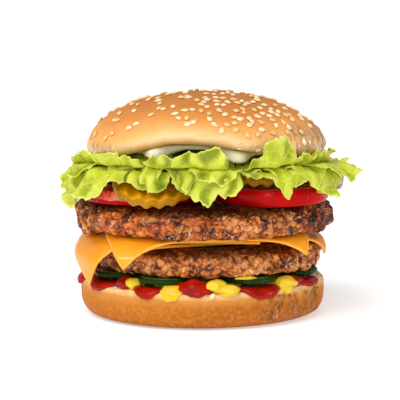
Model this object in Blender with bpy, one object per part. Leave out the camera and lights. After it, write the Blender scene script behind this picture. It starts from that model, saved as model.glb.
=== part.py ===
"""A double cheeseburger, one closed solid for each layer and each loose piece.

Lengths are in millimetres and angles in degrees, and place() turns them into metres.
The origin is the middle of the flat foot, +Z is up, and the front is towards -Y.
"""

import math
import random

import bpy
from mathutils import Matrix, Vector, noise

MM = 0.001
GAP = 0.3

# Bottom bun
HEEL_RADIUS = 52.0
HEEL_HEIGHT = 15.8
HEEL_FOOT_RADIUS = 44.0
HEEL_RIM_ROUND = 2.5
HEEL_BELLY = 8.0
HEEL_SIDE = ((48.6, 1.2), (51.0, 4.0))
HEEL_SECTORS = 48

# Sauces on the bottom bun
KETCHUP_THICK = 1.0
MUSTARD_THICK = 0.7
KETCHUP_INSIDE = 47.5
MUSTARD_INSIDE = 44.5
SAUCE_SECTORS = 96
KETCHUP_LIFT = 0.5
LOBE_START = 48.0
LOBE_FULL = 51.0
MUSTARD_LIFT = 2.1
HANG_LOOSE = 0.75
SAUCE_EDGE = ((2.4, 1.0), (1.2, 1.0), (0.0, 0.7))
# Each lobe: middle angle, half width, reach along the bun's surface, extra thickness
KETCHUP_LOBES = (
    (188, 8, 54.0, 0.9),
    (212, 11, 53.6, 0.3),
    (243, 8, 53.8, 0.5),
    (267, 6, 52.6, 0.6),
    (300, 11, 54.2, 0.7),
    (335, 12, 52.6, 0.5),
    (25, 12, 53.5, 0.7),
    (72, 12, 51.0, 0.0),
    (120, 9, 53.5, 0.2),
)
MUSTARD_LOBES = (
    (230, 5, 50.0, 0.0),
    (255.5, 5.5, 55.0, 0.4),
    (282, 7, 52.6, 0.6),
    (314, 6, 52.8, 0.8),
    (45, 5, 53.0, 0.8),
    (94, 5, 52.0, 0.6),
    (141, 5, 51.0, 0.6),
)

# Dark pickle chips under the lower patty
CHIP_RADIUS = 11.0
CHIP_THICK = 2.4
CHIP_BEVEL = 0.5
CHIP_SIDES = 14
CHIP_RING_RADIUS = 40.5
CHIP_ANGLES = (211, 247, 299, 341, 22, 69, 118, 164)

# Patties: centre x, radius, underside and top heights
LOWER_PATTY_X = 2.0
LOWER_PATTY_RADIUS = 48.3
UPPER_PATTY_X = 0.5
UPPER_PATTY_RADIUS = 54.6
PATTY_SECTORS = 42
PATTY_CRAG = 1.0
PATTY_EDGE_DROP = 0.9
# Each step round the rim: share of the radius, share of the rim's height, roughness
PATTY_RIM = (
    (0.93, 0.0, 0.3),
    (0.98, 0.16, 1.0),
    (1.0, 0.42, 1.0),
    (0.995, 0.68, 1.0),
    (0.965, 0.88, 0.8),
    (0.915, 1.0, 0.4),
)
PATTY_FLAT_UNDER = 0.865
PATTY_FLAT_TOP = 0.82
# Each droop of the upper patty's rim: middle angle, half width, depth
UPPER_DROOPS = ((192, 17, 2.2), (272, 22, 0.4), (350, 12, 1.8))
LOWER_PATTY_TOP = 32.6
UPPER_PATTY_UNDER = 38.2
UPPER_PATTY_TOP = 50.3

# Cheese slices, draped over the lower patty
SLICE_SIDE = 84.0
SLICE_THICK = 1.3
SLICE_STEP = 1.75
SLICE_SPREAD = 0.5
SLICE_CELLS = 12
DRAPE_START = 45.2
DRAPE_BEND_FRONT = 6.0
DRAPE_BEND_BACK = 9.0
DRAPE_HANG = 90.0
# Each slice, from the bottom: centre x, centre y, turn
SLICES = (
    ("cheese_slice_right", 1.9, 10.7, 20.0),
    ("cheese_slice_left", -15.6, 3.6, -3.0),
    ("cheese_slice_front", -1.1, -4.0, 7.5),
)

# Tomato, onion and pickle slices: centre x and y, underside height, radius, thickness, tilts
TOMATOES = (
    ("tomato_slice_left", -25.2, -13.5, 50.6, 25.5, 6.0, 0.0, 0.0),
    ("tomato_slice_right", 28.8, -18.0, 50.9, 24.1, 7.2, 1.4, 0.0),
    ("tomato_slice_back", -14.0, 32.0, 50.6, 20.0, 6.0, 0.0, 0.0),
)
ONIONS = (
    ("onion_slice_left", -24.0, 0.0, 57.0, 21.0, 3.8, 0.0, 0.0),
    ("onion_slice_right", 40.5, 27.2, 52.3, 21.5, 6.4, 0.0, 8.0),
)
PICKLES = (
    ("pickle_upper_left", -20.2, -36.0, 58.2, 17.2, 4.0, 24.0, 0.0),
    ("pickle_upper_right", 24.3, -26.0, 58.9, 12.0, 3.8, 1.4, 0.0),
    ("pickle_upper_side", 44.0, -12.0, 59.1, 8.8, 3.0, 1.4, 0.0),
)
SLICE_SECTORS = 24
CRINKLE_PITCH = 5.6
CRINKLE_DEPTH = 0.45

# Top bun
CROWN_RADIUS = 50.4
CROWN_X = 1.0
CROWN_TOP = 94.4
CROWN_SECTORS = 44
CROWN_LOW_SIDE = 68.5
CROWN_LIFT = 8.6
CROWN_LIFT_ANGLE = 258
CROWN_UNDER_MIDDLE = 76.0
CROWN_LIP = 3.0
CROWN_SHARES = (0.995, 0.96, 0.89, 0.79, 0.66, 0.50, 0.30)
SEED_COUNT = 54
SEED_LENGTH = 3.3
SEED_WIDTH = 2.1
SEED_HEIGHT = 1.3
SEED_SIDES = 5
SEED_BELTS = (0.3, 0.75)
SEED_RANDOM = 11
SEED_TURN = 137.508
SEED_OUTER = 0.9

# Lettuce and mayonnaise
LEAF_THICK = 1.1
LEAF_STEP = 1.9
LEAF_MIDDLE = 64.5
LEAF_SLOPE = 0.045
LEAF_BEND = 6.0
LEAF_ROWS = (0.0, 0.55, 1.0, 1.3, 1.65, 2.0)
LEAF_COLUMN = 5.0
PICKLE_RISE = 6.4
PICKLE_RISE_X = -18.0
PICKLE_RISE_Y = -22.0
PICKLE_RISE_WIDE = 17.0
MAYO_THICK = 2.2
MAYO_RADIUS = 40.0
MAYO_SECTORS = 30
MAYO_GAP = 0.8
# Each lobe: middle angle, half width, reach past the round, extra thickness
MAYO_LOBES = ((245, 9, 8.5, 3.6), (289, 9, 8.5, 3.4), (70, 14, 6.0, 1.0), (150, 12, 6.0, 1.0))
# Each ring from the inside: distance in from the edge, loss of thickness
MAYO_RINGS = ((14.0, 0.0), (1.6, 0.1), (0.0, 0.75))
RIM_DIP = 1.0
RIM_WAVE = 0.4
RIM_WAVE_COUNT = 7
# Each leaf: first and last angle, layer, inner radius, shoulder radii, droop, ruffle depth and
# count, and its reach past the shoulder at shares of its width
LEAVES = (
    ("lettuce_leaf_left", 189, 237, 0, 12, 52, 55, 58, 2.0, 3.5,
     ((0, 9), (0.12, 13), (0.25, 15), (0.37, 17), (0.46, 21), (0.56, 18.5), (0.72, 15), (0.88, 9), (1, 6))),
    ("lettuce_leaf_front_left", 238, 256, 0, 12, 52, 50, 78, 1.3, 2.0,
     ((0, 7), (0.3, 10), (0.6, 11), (0.85, 9), (1, 7))),
    ("lettuce_leaf_front", 257, 287, 0, 12, 50, 52, 82, 1.5, 2.5,
     ((0, 7), (0.17, 10.5), (0.37, 14.4), (0.52, 16.6), (0.6, 13), (0.66, 10.3), (0.88, 11.4), (1, 6))),
    ("lettuce_leaf_front_right", 288, 316, 0, 12, 50, 55, 75, 1.4, 2.0,
     ((0, 5), (0.45, 6), (0.54, 10), (0.61, 14), (0.7, 11.5), (0.82, 9), (1, 7))),
    ("lettuce_leaf_right", 317, 343, 0, 12, 55, 56, 72, 1.5, 2.0,
     ((0, 9), (0.12, 12), (0.4, 12.5), (0.62, 15.4), (0.8, 14), (1, 9))),
    ("lettuce_leaf_back_right", 344, 60, 0, 12, 52, 52, 8, 1.3, 4.0,
     ((0, 7), (0.3, 11), (0.5, 12), (0.7, 10), (1, 6))),
    ("lettuce_leaf_back", 61, 122, 0, 12, 51, 51, 62, 1.8, 4.5,
     ((0, 7), (0.25, 11), (0.5, 14), (0.7, 10), (1, 7))),
    ("lettuce_leaf_back_left", 123, 188, 0, 12, 51, 52, 58, 1.8, 4.5,
     ((0, 7), (0.3, 12), (0.5, 15), (0.75, 12), (1, 8))),
    ("lettuce_curl_left", 194, 243, 1, 45, 52, 52, -60, 1.1, 3.0,
     ((0, 4), (0.2, 7), (0.3, 9), (0.42, 6), (0.58, 9.5), (0.7, 8), (0.85, 9), (1, 7))),
    ("lettuce_curl_front", 245, 281, 1, 12, 52, 52, -75, 0.9, 2.5,
     ((0, 5), (0.13, 8), (0.25, 9.1), (0.34, 6.5), (0.47, 8.9), (0.61, 9.7), (0.86, 12.6), (1, 8))),
    ("lettuce_curl_right", 289, 313, 1, 12, 52, 52, -80, 0.9, 1.5,
     ((0, 3), (0.25, 7.5), (0.37, 13), (0.5, 16), (0.78, 15.4), (0.9, 9.4), (1, 5))),
    ("lettuce_curl_side", 323, 350, 1, 12, 58, 58, 34, 1.3, 1.5,
     ((0, 6), (0.25, 9), (0.6, 13), (0.85, 10), (1, 5))),
)

COLORS = {
    "bun": ((0.72, 0.36, 0.11), 0.55),
    "heel": ((0.68, 0.34, 0.11), 0.6),
    "ketchup": ((0.42, 0.015, 0.008), 0.2),
    "mustard": ((0.85, 0.56, 0.03), 0.25),
    "chip": ((0.015, 0.06, 0.01), 0.25),
    "patty": ((0.14, 0.05, 0.02), 0.45),
    "cheese": ((0.92, 0.38, 0.02), 0.25),
    "tomato": ((0.6, 0.02, 0.01), 0.2),
    "onion": ((0.45, 0.3, 0.38), 0.3),
    "pickle": ((0.33, 0.26, 0.01), 0.3),
    "lettuce": ((0.4, 0.6, 0.06), 0.4),
    "mayonnaise": ((0.85, 0.78, 0.55), 0.25),
}


def smooth(low, high, value):
    """0 below low, 1 above high and an S curve between them."""
    t = min(max((value - low) / (high - low), 0.0), 1.0)
    return t * t * (3 - 2 * t)


def turn_between(angle, middle):
    """The signed difference of two angles, from -180 to 180."""
    return (angle - middle + 180.0) % 360.0 - 180.0


def bump(angle, middle, half_width):
    """A rounded rise around one angle."""
    return math.exp(-((turn_between(angle, middle) / half_width) ** 2))


def window(angle, first, last, ease):
    """1 from the first angle to the last, easing to 0 outside them."""
    middle = (first + last) / 2
    half = (last - first) / 2
    return 1.0 - smooth(half - ease, half + ease, abs(turn_between(angle, middle)))


def polar(radius, angle, height, centre_x=0.0, centre_y=0.0):
    a = math.radians(angle)
    return Vector((centre_x + radius * math.cos(a), centre_y + radius * math.sin(a), height))


def through(points, spot):
    """The height at a spot of a smooth line through (spot, height) points."""
    for (here, low), (there, high) in zip(points, points[1:]):
        if spot <= there:
            return low + (high - low) * smooth(here, there, spot)
    return points[-1][1]


def material(kind):
    """The one material of a kind of food, made on first use."""
    found = bpy.data.materials.get(kind)
    if found:
        return found
    color, roughness = COLORS[kind]
    made = bpy.data.materials.new(kind)
    made.use_nodes = True
    shader = made.node_tree.nodes["Principled BSDF"]
    shader.inputs["Base Color"].default_value = (*color, 1.0)
    shader.inputs["Roughness"].default_value = roughness
    shader.inputs["Metallic"].default_value = 0.0
    made.diffuse_color = (*color, 1.0)
    return made


def place(name, points, faces, kind):
    """Make one object from points in millimetres."""
    mesh = bpy.data.meshes.new(name)
    mesh.from_pydata([tuple(p * MM) for p in points], [], faces)
    mesh.materials.append(material(kind))
    mesh.polygons.foreach_set("use_smooth", [True] * len(mesh.polygons))
    mesh.validate()
    made = bpy.data.objects.new(name, mesh)
    bpy.context.scene.collection.objects.link(made)
    return made


def turned(name, sectors, rings, kind):
    """A closed body round a vertical axis.

    rings(angle) lists points from the bottom of the axis, out and back to its top."""
    columns = [rings(360.0 * i / sectors) for i in range(sectors)]
    count = len(columns[0]) - 2
    points = [columns[0][0], columns[0][-1]]
    for column in columns:
        points.extend(column[1:-1])
    faces = []
    for i in range(sectors):
        here = 2 + i * count
        there = 2 + ((i + 1) % sectors) * count
        faces.append((0, there, here))
        faces.append((1, here + count - 1, there + count - 1))
        for j in range(count - 1):
            faces.append((here + j, there + j, there + j + 1))
            faces.append((here + j, there + j + 1, here + j + 1))
    return place(name, points, faces, kind)


def sheet(name, us, vs, spot, kind):
    """A closed thin body. spot(u, v, side) is a point of its lower (0) or upper (1) face."""
    wide, deep = len(us), len(vs)
    points = []
    for side in (0, 1):
        points.extend(spot(u, v, side) for u in us for v in vs)
    top = wide * deep
    faces = []
    for i in range(wide - 1):
        for j in range(deep - 1):
            a, b = i * deep + j, (i + 1) * deep + j
            c, d = b + 1, a + 1
            faces += [(a, c, b), (a, d, c)]
            faces += [(top + a, top + b, top + c), (top + a, top + c, top + d)]
    rim = [i * deep for i in range(wide)]
    rim += [(wide - 1) * deep + j for j in range(1, deep)]
    rim += [i * deep + deep - 1 for i in range(wide - 2, -1, -1)]
    rim += [j for j in range(deep - 2, 0, -1)]
    for here, there in zip(rim, rim[1:] + rim[:1]):
        faces += [(here, there, top + there), (here, top + there, top + here)]
    return place(name, points, faces, kind)


def heel_waver(angle):
    """The bottom bun isn't quite round, and its sauces follow it."""
    a = math.radians(angle)
    return 1.0 + 0.008 * math.sin(2 * a + 0.6) + 0.005 * math.sin(3 * a + 2.0)


def heel_path(along, lift, angle):
    """A point over the bottom bun: so far along its surface from the axis, so far off it."""
    flat = HEEL_RADIUS - HEEL_RIM_ROUND
    past = max(along - flat, 0.0)
    bend = min(past / HEEL_RIM_ROUND, math.pi / 2)
    down = max(past - HEEL_RIM_ROUND * math.pi / 2, 0.0)
    radius = min(along, flat) + (HEEL_RIM_ROUND + lift) * math.sin(bend)
    height = HEEL_HEIGHT - HEEL_RIM_ROUND + (HEEL_RIM_ROUND + lift) * math.cos(bend) - down
    return polar(radius * heel_waver(angle), angle, height)


def sauce_path(along, lift, angle):
    """The same for a sauce, which hangs a little looser past the rim."""
    past = along - HEEL_RADIUS + HEEL_RIM_ROUND
    return heel_path(along, lift + HANG_LOOSE * smooth(0, 2 * HEEL_RIM_ROUND, past), angle)


def build_heel():
    side = ((HEEL_FOOT_RADIUS, 0.0), *HEEL_SIDE, (HEEL_RADIUS, HEEL_BELLY))
    flat = HEEL_RADIUS - HEEL_RIM_ROUND
    turn = HEEL_RIM_ROUND * math.pi / 2

    def rings(angle):
        points = [Vector((0, 0, 0))]
        points += [polar(r * heel_waver(angle), angle, z) for r, z in side]
        points += [heel_path(flat + turn * part, 0.0, angle) for part in (1.0, 0.5, 0.0)]
        return points + [Vector((0, 0, HEEL_HEIGHT))]

    turned("bun_bottom", HEEL_SECTORS, rings, "heel")


def sauce_edge(angle, lobes, inside):
    """How far a sauce reaches at an angle, and how much thicker its lobe is there."""
    reach, extra = inside, 0.0
    for middle, half_width, lobe_reach, lobe_extra in lobes:
        share = bump(angle, middle, half_width)
        reach = max(reach, inside + (lobe_reach - inside) * share)
        extra = max(extra, lobe_extra * share)
    return reach, extra


def build_sauce(kind, lobes, inside, lift, thick, lobes_below=()):
    """A sauce spread on the bottom bun, its lobes hanging over the rim."""
    flat = HEEL_RADIUS - HEEL_RIM_ROUND
    half_turn = HEEL_RIM_ROUND * math.pi / 4

    def rings(angle):
        outer, extra = sauce_edge(angle, lobes, inside)
        alongs = [outer - inset for inset, _ in SAUCE_EDGE]
        alongs[:2] = [min(flat, alongs[0]), min(flat + half_turn, alongs[1])]
        under = sauce_edge(angle, lobes_below, KETCHUP_INSIDE)[1]
        full = [smooth(LOBE_START, LOBE_FULL, s) for s in alongs]
        lows = [lift + under * part for part in full]
        thicks = [(thick + extra * part) * keep for part, (_, keep) in zip(full, SAUCE_EDGE)]
        points = [Vector((0, 0, HEEL_HEIGHT + lift))]
        points += [sauce_path(s, low, angle) for s, low in zip(alongs, lows)]
        layers = list(zip(alongs, lows, thicks))
        points += [sauce_path(s, low + t, angle) for s, low, t in reversed(layers)]
        return points + [Vector((0, 0, HEEL_HEIGHT + lift + thick))]

    turned(kind, SAUCE_SECTORS, rings, kind)


def chip_floor():
    return HEEL_HEIGHT + MUSTARD_LIFT + MUSTARD_THICK + GAP


def build_chips():
    """Dark pickle chips, in a ring between the sauces and the lower patty."""
    low = chip_floor()
    steps = ((CHIP_RADIUS - CHIP_BEVEL, 0.0), (CHIP_RADIUS, CHIP_BEVEL))
    steps += tuple((r, CHIP_THICK - z) for r, z in steps[::-1])
    for number, where in enumerate(CHIP_ANGLES, 1):
        middle = polar(CHIP_RING_RADIUS, where, low)

        def rings(angle):
            points = [polar(r, angle + where, low + z, middle.x, middle.y) for r, z in steps]
            return [middle, *points, middle + Vector((0, 0, CHIP_THICK))]

        turned(f"pickle_lower_{number}", CHIP_SIDES, rings, "chip")


def crag(point, seed):
    """Rough relief of the minced meat, from -1 to 1."""
    spot = Vector((point.x, point.y, point.z + seed))
    return 0.65 * noise.noise(spot * 0.16) + 0.6 * noise.noise(spot * 0.34)


def build_patty(name, centre_x, radius, under, top, rim_under, seed):
    """A patty: flat inside, with a rounded, craggy rim that can droop below its underside."""
    rim_top = top - PATTY_EDGE_DROP

    def rings(angle):
        low = rim_under(angle)
        steps = [(PATTY_FLAT_UNDER, under, 0.0)]
        steps += [(share, low + part * (rim_top - low), rough) for share, part, rough in PATTY_RIM]
        steps.append((PATTY_FLAT_TOP, top, 0.0))
        points = [Vector((centre_x, 0, under))]
        for share, height, rough in steps:
            spot = polar(radius * share, angle, height, centre_x)
            relief = PATTY_CRAG * rough * crag(spot, seed)
            points.append(polar(radius * share + relief, angle, height, centre_x))
        return points + [Vector((centre_x, 0, top))]

    turned(name, PATTY_SECTORS, rings, "patty")


def upper_rim_under(angle):
    """The upper patty's rim droops where little cheese lies under it."""
    drops = [deep * window(angle, mid - half, mid + half, 8) for mid, half, deep in UPPER_DROOPS]
    return UPPER_PATTY_UNDER - max(drops)


def drape(flat_x, flat_y, level, side):
    """A point of the cheese, from where it would lie if flat and which slice and face it is on."""
    dx, dy = flat_x - LOWER_PATTY_X, flat_y
    reach = math.hypot(dx, dy)
    angle = math.degrees(math.atan2(dy, dx)) % 360
    front = window(angle, 226, 360, 10)
    inner_radius = DRAPE_BEND_BACK + (DRAPE_BEND_FRONT - DRAPE_BEND_BACK) * front
    past = max(reach - DRAPE_START, 0.0)
    hang = math.radians(DRAPE_HANG)
    bend_radius = inner_radius + level * (SLICE_STEP + SLICE_SPREAD)
    bend = min(past / bend_radius, hang)
    straight = max(past - bend_radius * hang, 0.0)
    spread = level * SLICE_SPREAD * math.sin(bend)
    off = level * SLICE_STEP + spread + SLICE_THICK * side
    radius = min(reach, DRAPE_START) + (inner_radius + off) * math.sin(bend)
    radius += straight * math.cos(hang)
    height = LOWER_PATTY_TOP + GAP - inner_radius + (inner_radius + off) * math.cos(bend)
    height -= straight * math.sin(hang)
    return polar(radius, angle, height, LOWER_PATTY_X)


def build_cheese():
    """Square slices, one above another, draped over the lower patty's rim."""
    steps = [2.0 * i / SLICE_CELLS - 1.0 for i in range(SLICE_CELLS + 1)]
    marks = [math.copysign(abs(t) ** 0.85, t) * SLICE_SIDE / 2 for t in steps]
    for level, (name, centre_x, centre_y, turn) in enumerate(SLICES):
        a = math.radians(turn)

        def spot(u, v, side):
            x = centre_x + u * math.cos(a) - v * math.sin(a)
            y = centre_y + u * math.sin(a) + v * math.cos(a)
            return drape(x, y, level, side)

        sheet(name, marks, marks, spot, "cheese")


def tilted(spot, centre, tilt_x, tilt_y):
    """A point of a slice turned about its centre."""
    turn = Matrix.Rotation(math.radians(tilt_x), 3, "X") @ Matrix.Rotation(math.radians(tilt_y), 3, "Y")
    return centre + turn @ spot


def build_round_slice(name, x, y, under, radius, thick, tilt_x, tilt_y, kind):
    """A tomato or onion slice with a slightly bulging skin."""
    centre = Vector((x, y, under))
    steps = ((-0.9, 0.0), (0.0, 0.22), (0.0, 0.78), (-0.9, 1.0))

    def rings(angle):
        wide = radius * (1 + 0.012 * math.cos(math.radians(3 * angle + x)))
        points = [polar(wide + inset, angle, thick * share) for inset, share in steps]
        points = [Vector((0, 0, 0)), *points, Vector((0, 0, thick))]
        return [tilted(p, centre, tilt_x, tilt_y) for p in points]

    turned(name, SLICE_SECTORS, rings, kind)


def build_crinkle_slice(name, x, y, under, radius, thick, tilt_x, tilt_y):
    """A crinkle-cut pickle slice: its ridges run from front to back."""
    centre = Vector((x, y, under))
    count = 2 * round(2 * radius / CRINKLE_PITCH) + 1
    edge = 0.985
    us = [radius * edge * math.sin(math.pi * (i / count - 0.5)) for i in range(count + 1)]
    ends = (-1.0, 0.0, 1.0)

    def spot(u, v, side):
        across = math.sqrt(radius**2 - u**2) * v
        wave = CRINKLE_DEPTH * math.cos(2 * math.pi * u / CRINKLE_PITCH)
        return tilted(Vector((u, across, thick * side + wave)), centre, tilt_x, tilt_y)

    sheet(name, us, ends, spot, "pickle")


def leaf_height(x, y):
    """The middle of the lower leaves inside the rim; they rise over the leaning pickle."""
    away = math.hypot(x - PICKLE_RISE_X, y - PICKLE_RISE_Y)
    over_pickle = PICKLE_RISE * math.exp(-((away / PICKLE_RISE_WIDE) ** 2))
    angle = math.atan2(y, x)
    wave = RIM_WAVE * math.sin(RIM_WAVE_COUNT * angle + 1.0) - RIM_DIP
    return LEAF_MIDDLE - LEAF_SLOPE * y + over_pickle + wave * smooth(40, 52, math.hypot(x, y))


def build_leaf(name, first, last, layer, start, shoulder_a, shoulder_b, droop, ruffle, waves, margin):
    """A leaf: flat inside the burger, bent down or up past its shoulder, with a ruffled margin."""
    span = (last - first) % 360
    columns = max(5, round(span / LEAF_COLUMN))
    us = [1 - i / columns for i in range(columns + 1)]
    hang = math.radians(droop)

    def spot(u, v, side):
        angle = first + span * u
        shoulder = shoulder_a + (shoulder_b - shoulder_a) * smooth(0, 1, u)
        inner = start + (shoulder - start) * min(v, 1.0)
        flat = polar(inner, angle, 0)
        base = leaf_height(flat.x, flat.y) + layer * LEAF_STEP
        share = max(v - 1.0, 0.0)
        past = share * through(margin, u)
        bend = hang * min(past / LEAF_BEND, 1.0)
        bend_radius = LEAF_BEND / hang
        straight = max(past - LEAF_BEND, 0.0)
        ruffled = ruffle * share**1.2 * math.sin(2 * math.pi * waves * u + 0.5)
        off = LEAF_THICK * (side - 0.5) + ruffled
        radius = inner + bend_radius * math.sin(bend) + straight * math.cos(hang)
        height = base - bend_radius * (1 - math.cos(bend)) - straight * math.sin(hang)
        return polar(radius + off * math.sin(bend), angle, height + off * math.cos(bend))

    sheet(name, us, LEAF_ROWS, spot, "lettuce")


def crown_low(angle):
    """The height of the top bun's lower edge: lifted in front, where the filling shows."""
    half_width = 30 if turn_between(angle, CROWN_LIFT_ANGLE) < 0 else 50
    back = 1.8 * bump(angle, 90, 60)
    return CROWN_LOW_SIDE + CROWN_LIFT * bump(angle, CROWN_LIFT_ANGLE, half_width) - back


def crown_under(radius, angle):
    """The height of the top bun's cut face."""
    share = min(radius / (CROWN_RADIUS - CROWN_LIP), 1.0) ** 2.5
    return CROWN_UNDER_MIDDLE + (crown_low(angle) - CROWN_UNDER_MIDDLE) * share


def crown_round(angle):
    a = math.radians(angle)
    return CROWN_RADIUS * (1 + 0.006 * math.sin(2 * a + 1.0) + 0.006 * math.cos(a))


def crown_surface(share, angle):
    """A point of the crust at a share of the bun's radius."""
    equator = crown_low(angle) + CROWN_LIP
    rise = (CROWN_TOP - equator) * (1 - share**2.2) ** 0.54
    return polar(crown_round(angle) * share, angle, equator + rise, CROWN_X)


def build_crown():
    def rings(angle):
        wide = crown_round(angle)
        low = crown_low(angle)
        under = [(wide * s, crown_under(wide * s, angle)) for s in (0.4, 0.75)]
        lip = [(wide - CROWN_LIP, low), (wide - 0.3 * CROWN_LIP, low + 0.35 * CROWN_LIP)]
        points = [Vector((CROWN_X, 0, CROWN_UNDER_MIDDLE))]
        points += [polar(r, angle, z, CROWN_X) for r, z in under + lip]
        points += [crown_surface(share, angle) for share in CROWN_SHARES]
        return points + [Vector((CROWN_X, 0, CROWN_TOP))]

    return turned("bun_top", CROWN_SECTORS, rings, "bun")


def seed_at(number, share, angle, turn, collection):
    """One sesame seed, a pointed bead half sunk in the crust."""
    here = crown_surface(share, angle)
    outward = crown_surface(min(share + 0.02, 0.99), angle) - here
    around = crown_surface(share, angle + 1.0) - here
    up = outward.cross(around).normalized()
    along = (around.normalized() * math.cos(turn) + outward.normalized() * math.sin(turn)).normalized()
    across = up.cross(along)
    sides = SEED_SIDES
    last = 2 + (len(SEED_BELTS) - 1) * sides
    half = SEED_LENGTH / 2
    points = [here - along * half, here + along * half]
    for belt in SEED_BELTS:
        wide = math.sin(math.pi * belt**1.25)
        for i in range(sides):
            a = 2 * math.pi * i / sides
            offset = across * math.cos(a) * SEED_WIDTH / 2 + up * math.sin(a) * SEED_HEIGHT / 2
            points.append(here + along * half * (2 * belt - 1) + offset * wide)
    faces = []
    for i in range(sides):
        there = (i + 1) % sides
        faces.append((0, 2 + there, 2 + i))
        faces.append((1, last + i, last + there))
        for j in range(len(SEED_BELTS) - 1):
            a, b = 2 + j * sides + i, 2 + j * sides + there
            faces += [(a, b, b + sides), (a, b + sides, a + sides)]
    made = place(f"seed_{number}", points, faces, "bun")
    bpy.context.scene.collection.objects.unlink(made)
    collection.objects.link(made)


def build_seeds(crown):
    """Scatter seeds by a spiral, thinning out towards the lower edge, and fuse them on."""
    rng = random.Random(SEED_RANDOM)
    seeds = bpy.data.collections.new("seeds")
    bpy.context.scene.collection.children.link(seeds)
    for i in range(SEED_COUNT):
        share = SEED_OUTER * math.sqrt((i + 0.6) / SEED_COUNT)
        angle = SEED_TURN * i + rng.uniform(-4, 4)
        seed_at(i, share, angle, rng.uniform(0, 2 * math.pi), seeds)
    joined = crown.modifiers.new("seeds", "BOOLEAN")
    joined.operation = "UNION"
    joined.operand_type = "COLLECTION"
    joined.collection = seeds
    joined.solver = "MANIFOLD"
    graph = bpy.context.evaluated_depsgraph_get()
    fused = bpy.data.meshes.new_from_object(crown.evaluated_get(graph))
    crown.modifiers.clear()
    crown.data = fused
    for seed in list(seeds.objects):
        bpy.data.objects.remove(seed, do_unlink=True)
    bpy.data.collections.remove(seeds)


def build_mayonnaise():
    """Spread under the top bun, with two lobes at the front rim."""
    def rings(angle):
        wide = MAYO_RADIUS + max(reach * bump(angle, mid, half) for mid, half, reach, _ in MAYO_LOBES)
        thick = MAYO_THICK + max(deep * bump(angle, mid, half) for mid, half, _, deep in MAYO_LOBES)
        upper, lower = [], []
        for inset, shrink in MAYO_RINGS:
            radius = wide - inset
            spot = polar(radius, angle, 0)
            ceiling = crown_under(radius, angle) - MAYO_GAP
            floor = leaf_height(spot.x, spot.y) + LEAF_THICK / 2 + MAYO_GAP
            floor += LEAF_STEP * window(angle, 238, 352, 4)
            local = MAYO_THICK if inset > 10 else thick
            bottom = max(floor, ceiling - local + shrink)
            upper.append(polar(radius, angle, max(ceiling - 0.4 * shrink, bottom + 0.5)))
            lower.append(polar(radius, angle, bottom))
        top = CROWN_UNDER_MIDDLE - MAYO_GAP
        return [Vector((0, 0, top - MAYO_THICK)), *lower, *upper[::-1], Vector((0, 0, top))]

    turned("mayonnaise", MAYO_SECTORS, rings, "mayonnaise")


def main():
    for item in list(bpy.data.objects):
        bpy.data.objects.remove(item, do_unlink=True)
    build_heel()
    build_sauce("ketchup", KETCHUP_LOBES, KETCHUP_INSIDE, KETCHUP_LIFT, KETCHUP_THICK)
    build_sauce("mustard", MUSTARD_LOBES, MUSTARD_INSIDE, MUSTARD_LIFT, MUSTARD_THICK, KETCHUP_LOBES)
    build_chips()
    lower_under = chip_floor() + CHIP_THICK + GAP
    build_patty(
        "patty_lower", LOWER_PATTY_X, LOWER_PATTY_RADIUS, lower_under, LOWER_PATTY_TOP,
        lambda angle: lower_under + 0.4, 0.0,
    )
    build_cheese()
    build_patty(
        "patty_upper", UPPER_PATTY_X, UPPER_PATTY_RADIUS, UPPER_PATTY_UNDER, UPPER_PATTY_TOP,
        upper_rim_under, 70.0,
    )
    for values in TOMATOES:
        build_round_slice(*values, "tomato")
    for values in ONIONS:
        build_round_slice(*values, "onion")
    for values in PICKLES:
        build_crinkle_slice(*values)
    for values in LEAVES:
        build_leaf(*values)
    build_mayonnaise()
    build_seeds(build_crown())


main()
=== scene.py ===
"""Looks of the double cheeseburger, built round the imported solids.

Shapes are worked out in millimetres, with angles in degrees, and place() turns them into metres.
"""

import random
from math import atan2, copysign, cos, degrees, exp, hypot, pi, radians, sin, sqrt

import bpy
import numpy as np
from mathutils import Matrix, Vector, noise


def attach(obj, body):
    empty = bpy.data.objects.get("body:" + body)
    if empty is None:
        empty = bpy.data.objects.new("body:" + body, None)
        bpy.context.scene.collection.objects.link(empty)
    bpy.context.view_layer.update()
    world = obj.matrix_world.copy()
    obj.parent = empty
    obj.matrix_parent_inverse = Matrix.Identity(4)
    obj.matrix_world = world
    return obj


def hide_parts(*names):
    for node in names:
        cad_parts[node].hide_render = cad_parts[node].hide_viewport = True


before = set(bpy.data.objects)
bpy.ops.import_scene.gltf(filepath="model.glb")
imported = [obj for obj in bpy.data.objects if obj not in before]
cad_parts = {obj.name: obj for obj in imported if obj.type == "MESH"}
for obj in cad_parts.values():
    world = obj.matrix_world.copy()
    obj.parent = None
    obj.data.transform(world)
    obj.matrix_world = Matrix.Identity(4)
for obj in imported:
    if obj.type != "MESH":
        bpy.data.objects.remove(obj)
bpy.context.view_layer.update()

MM = 0.001

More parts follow.
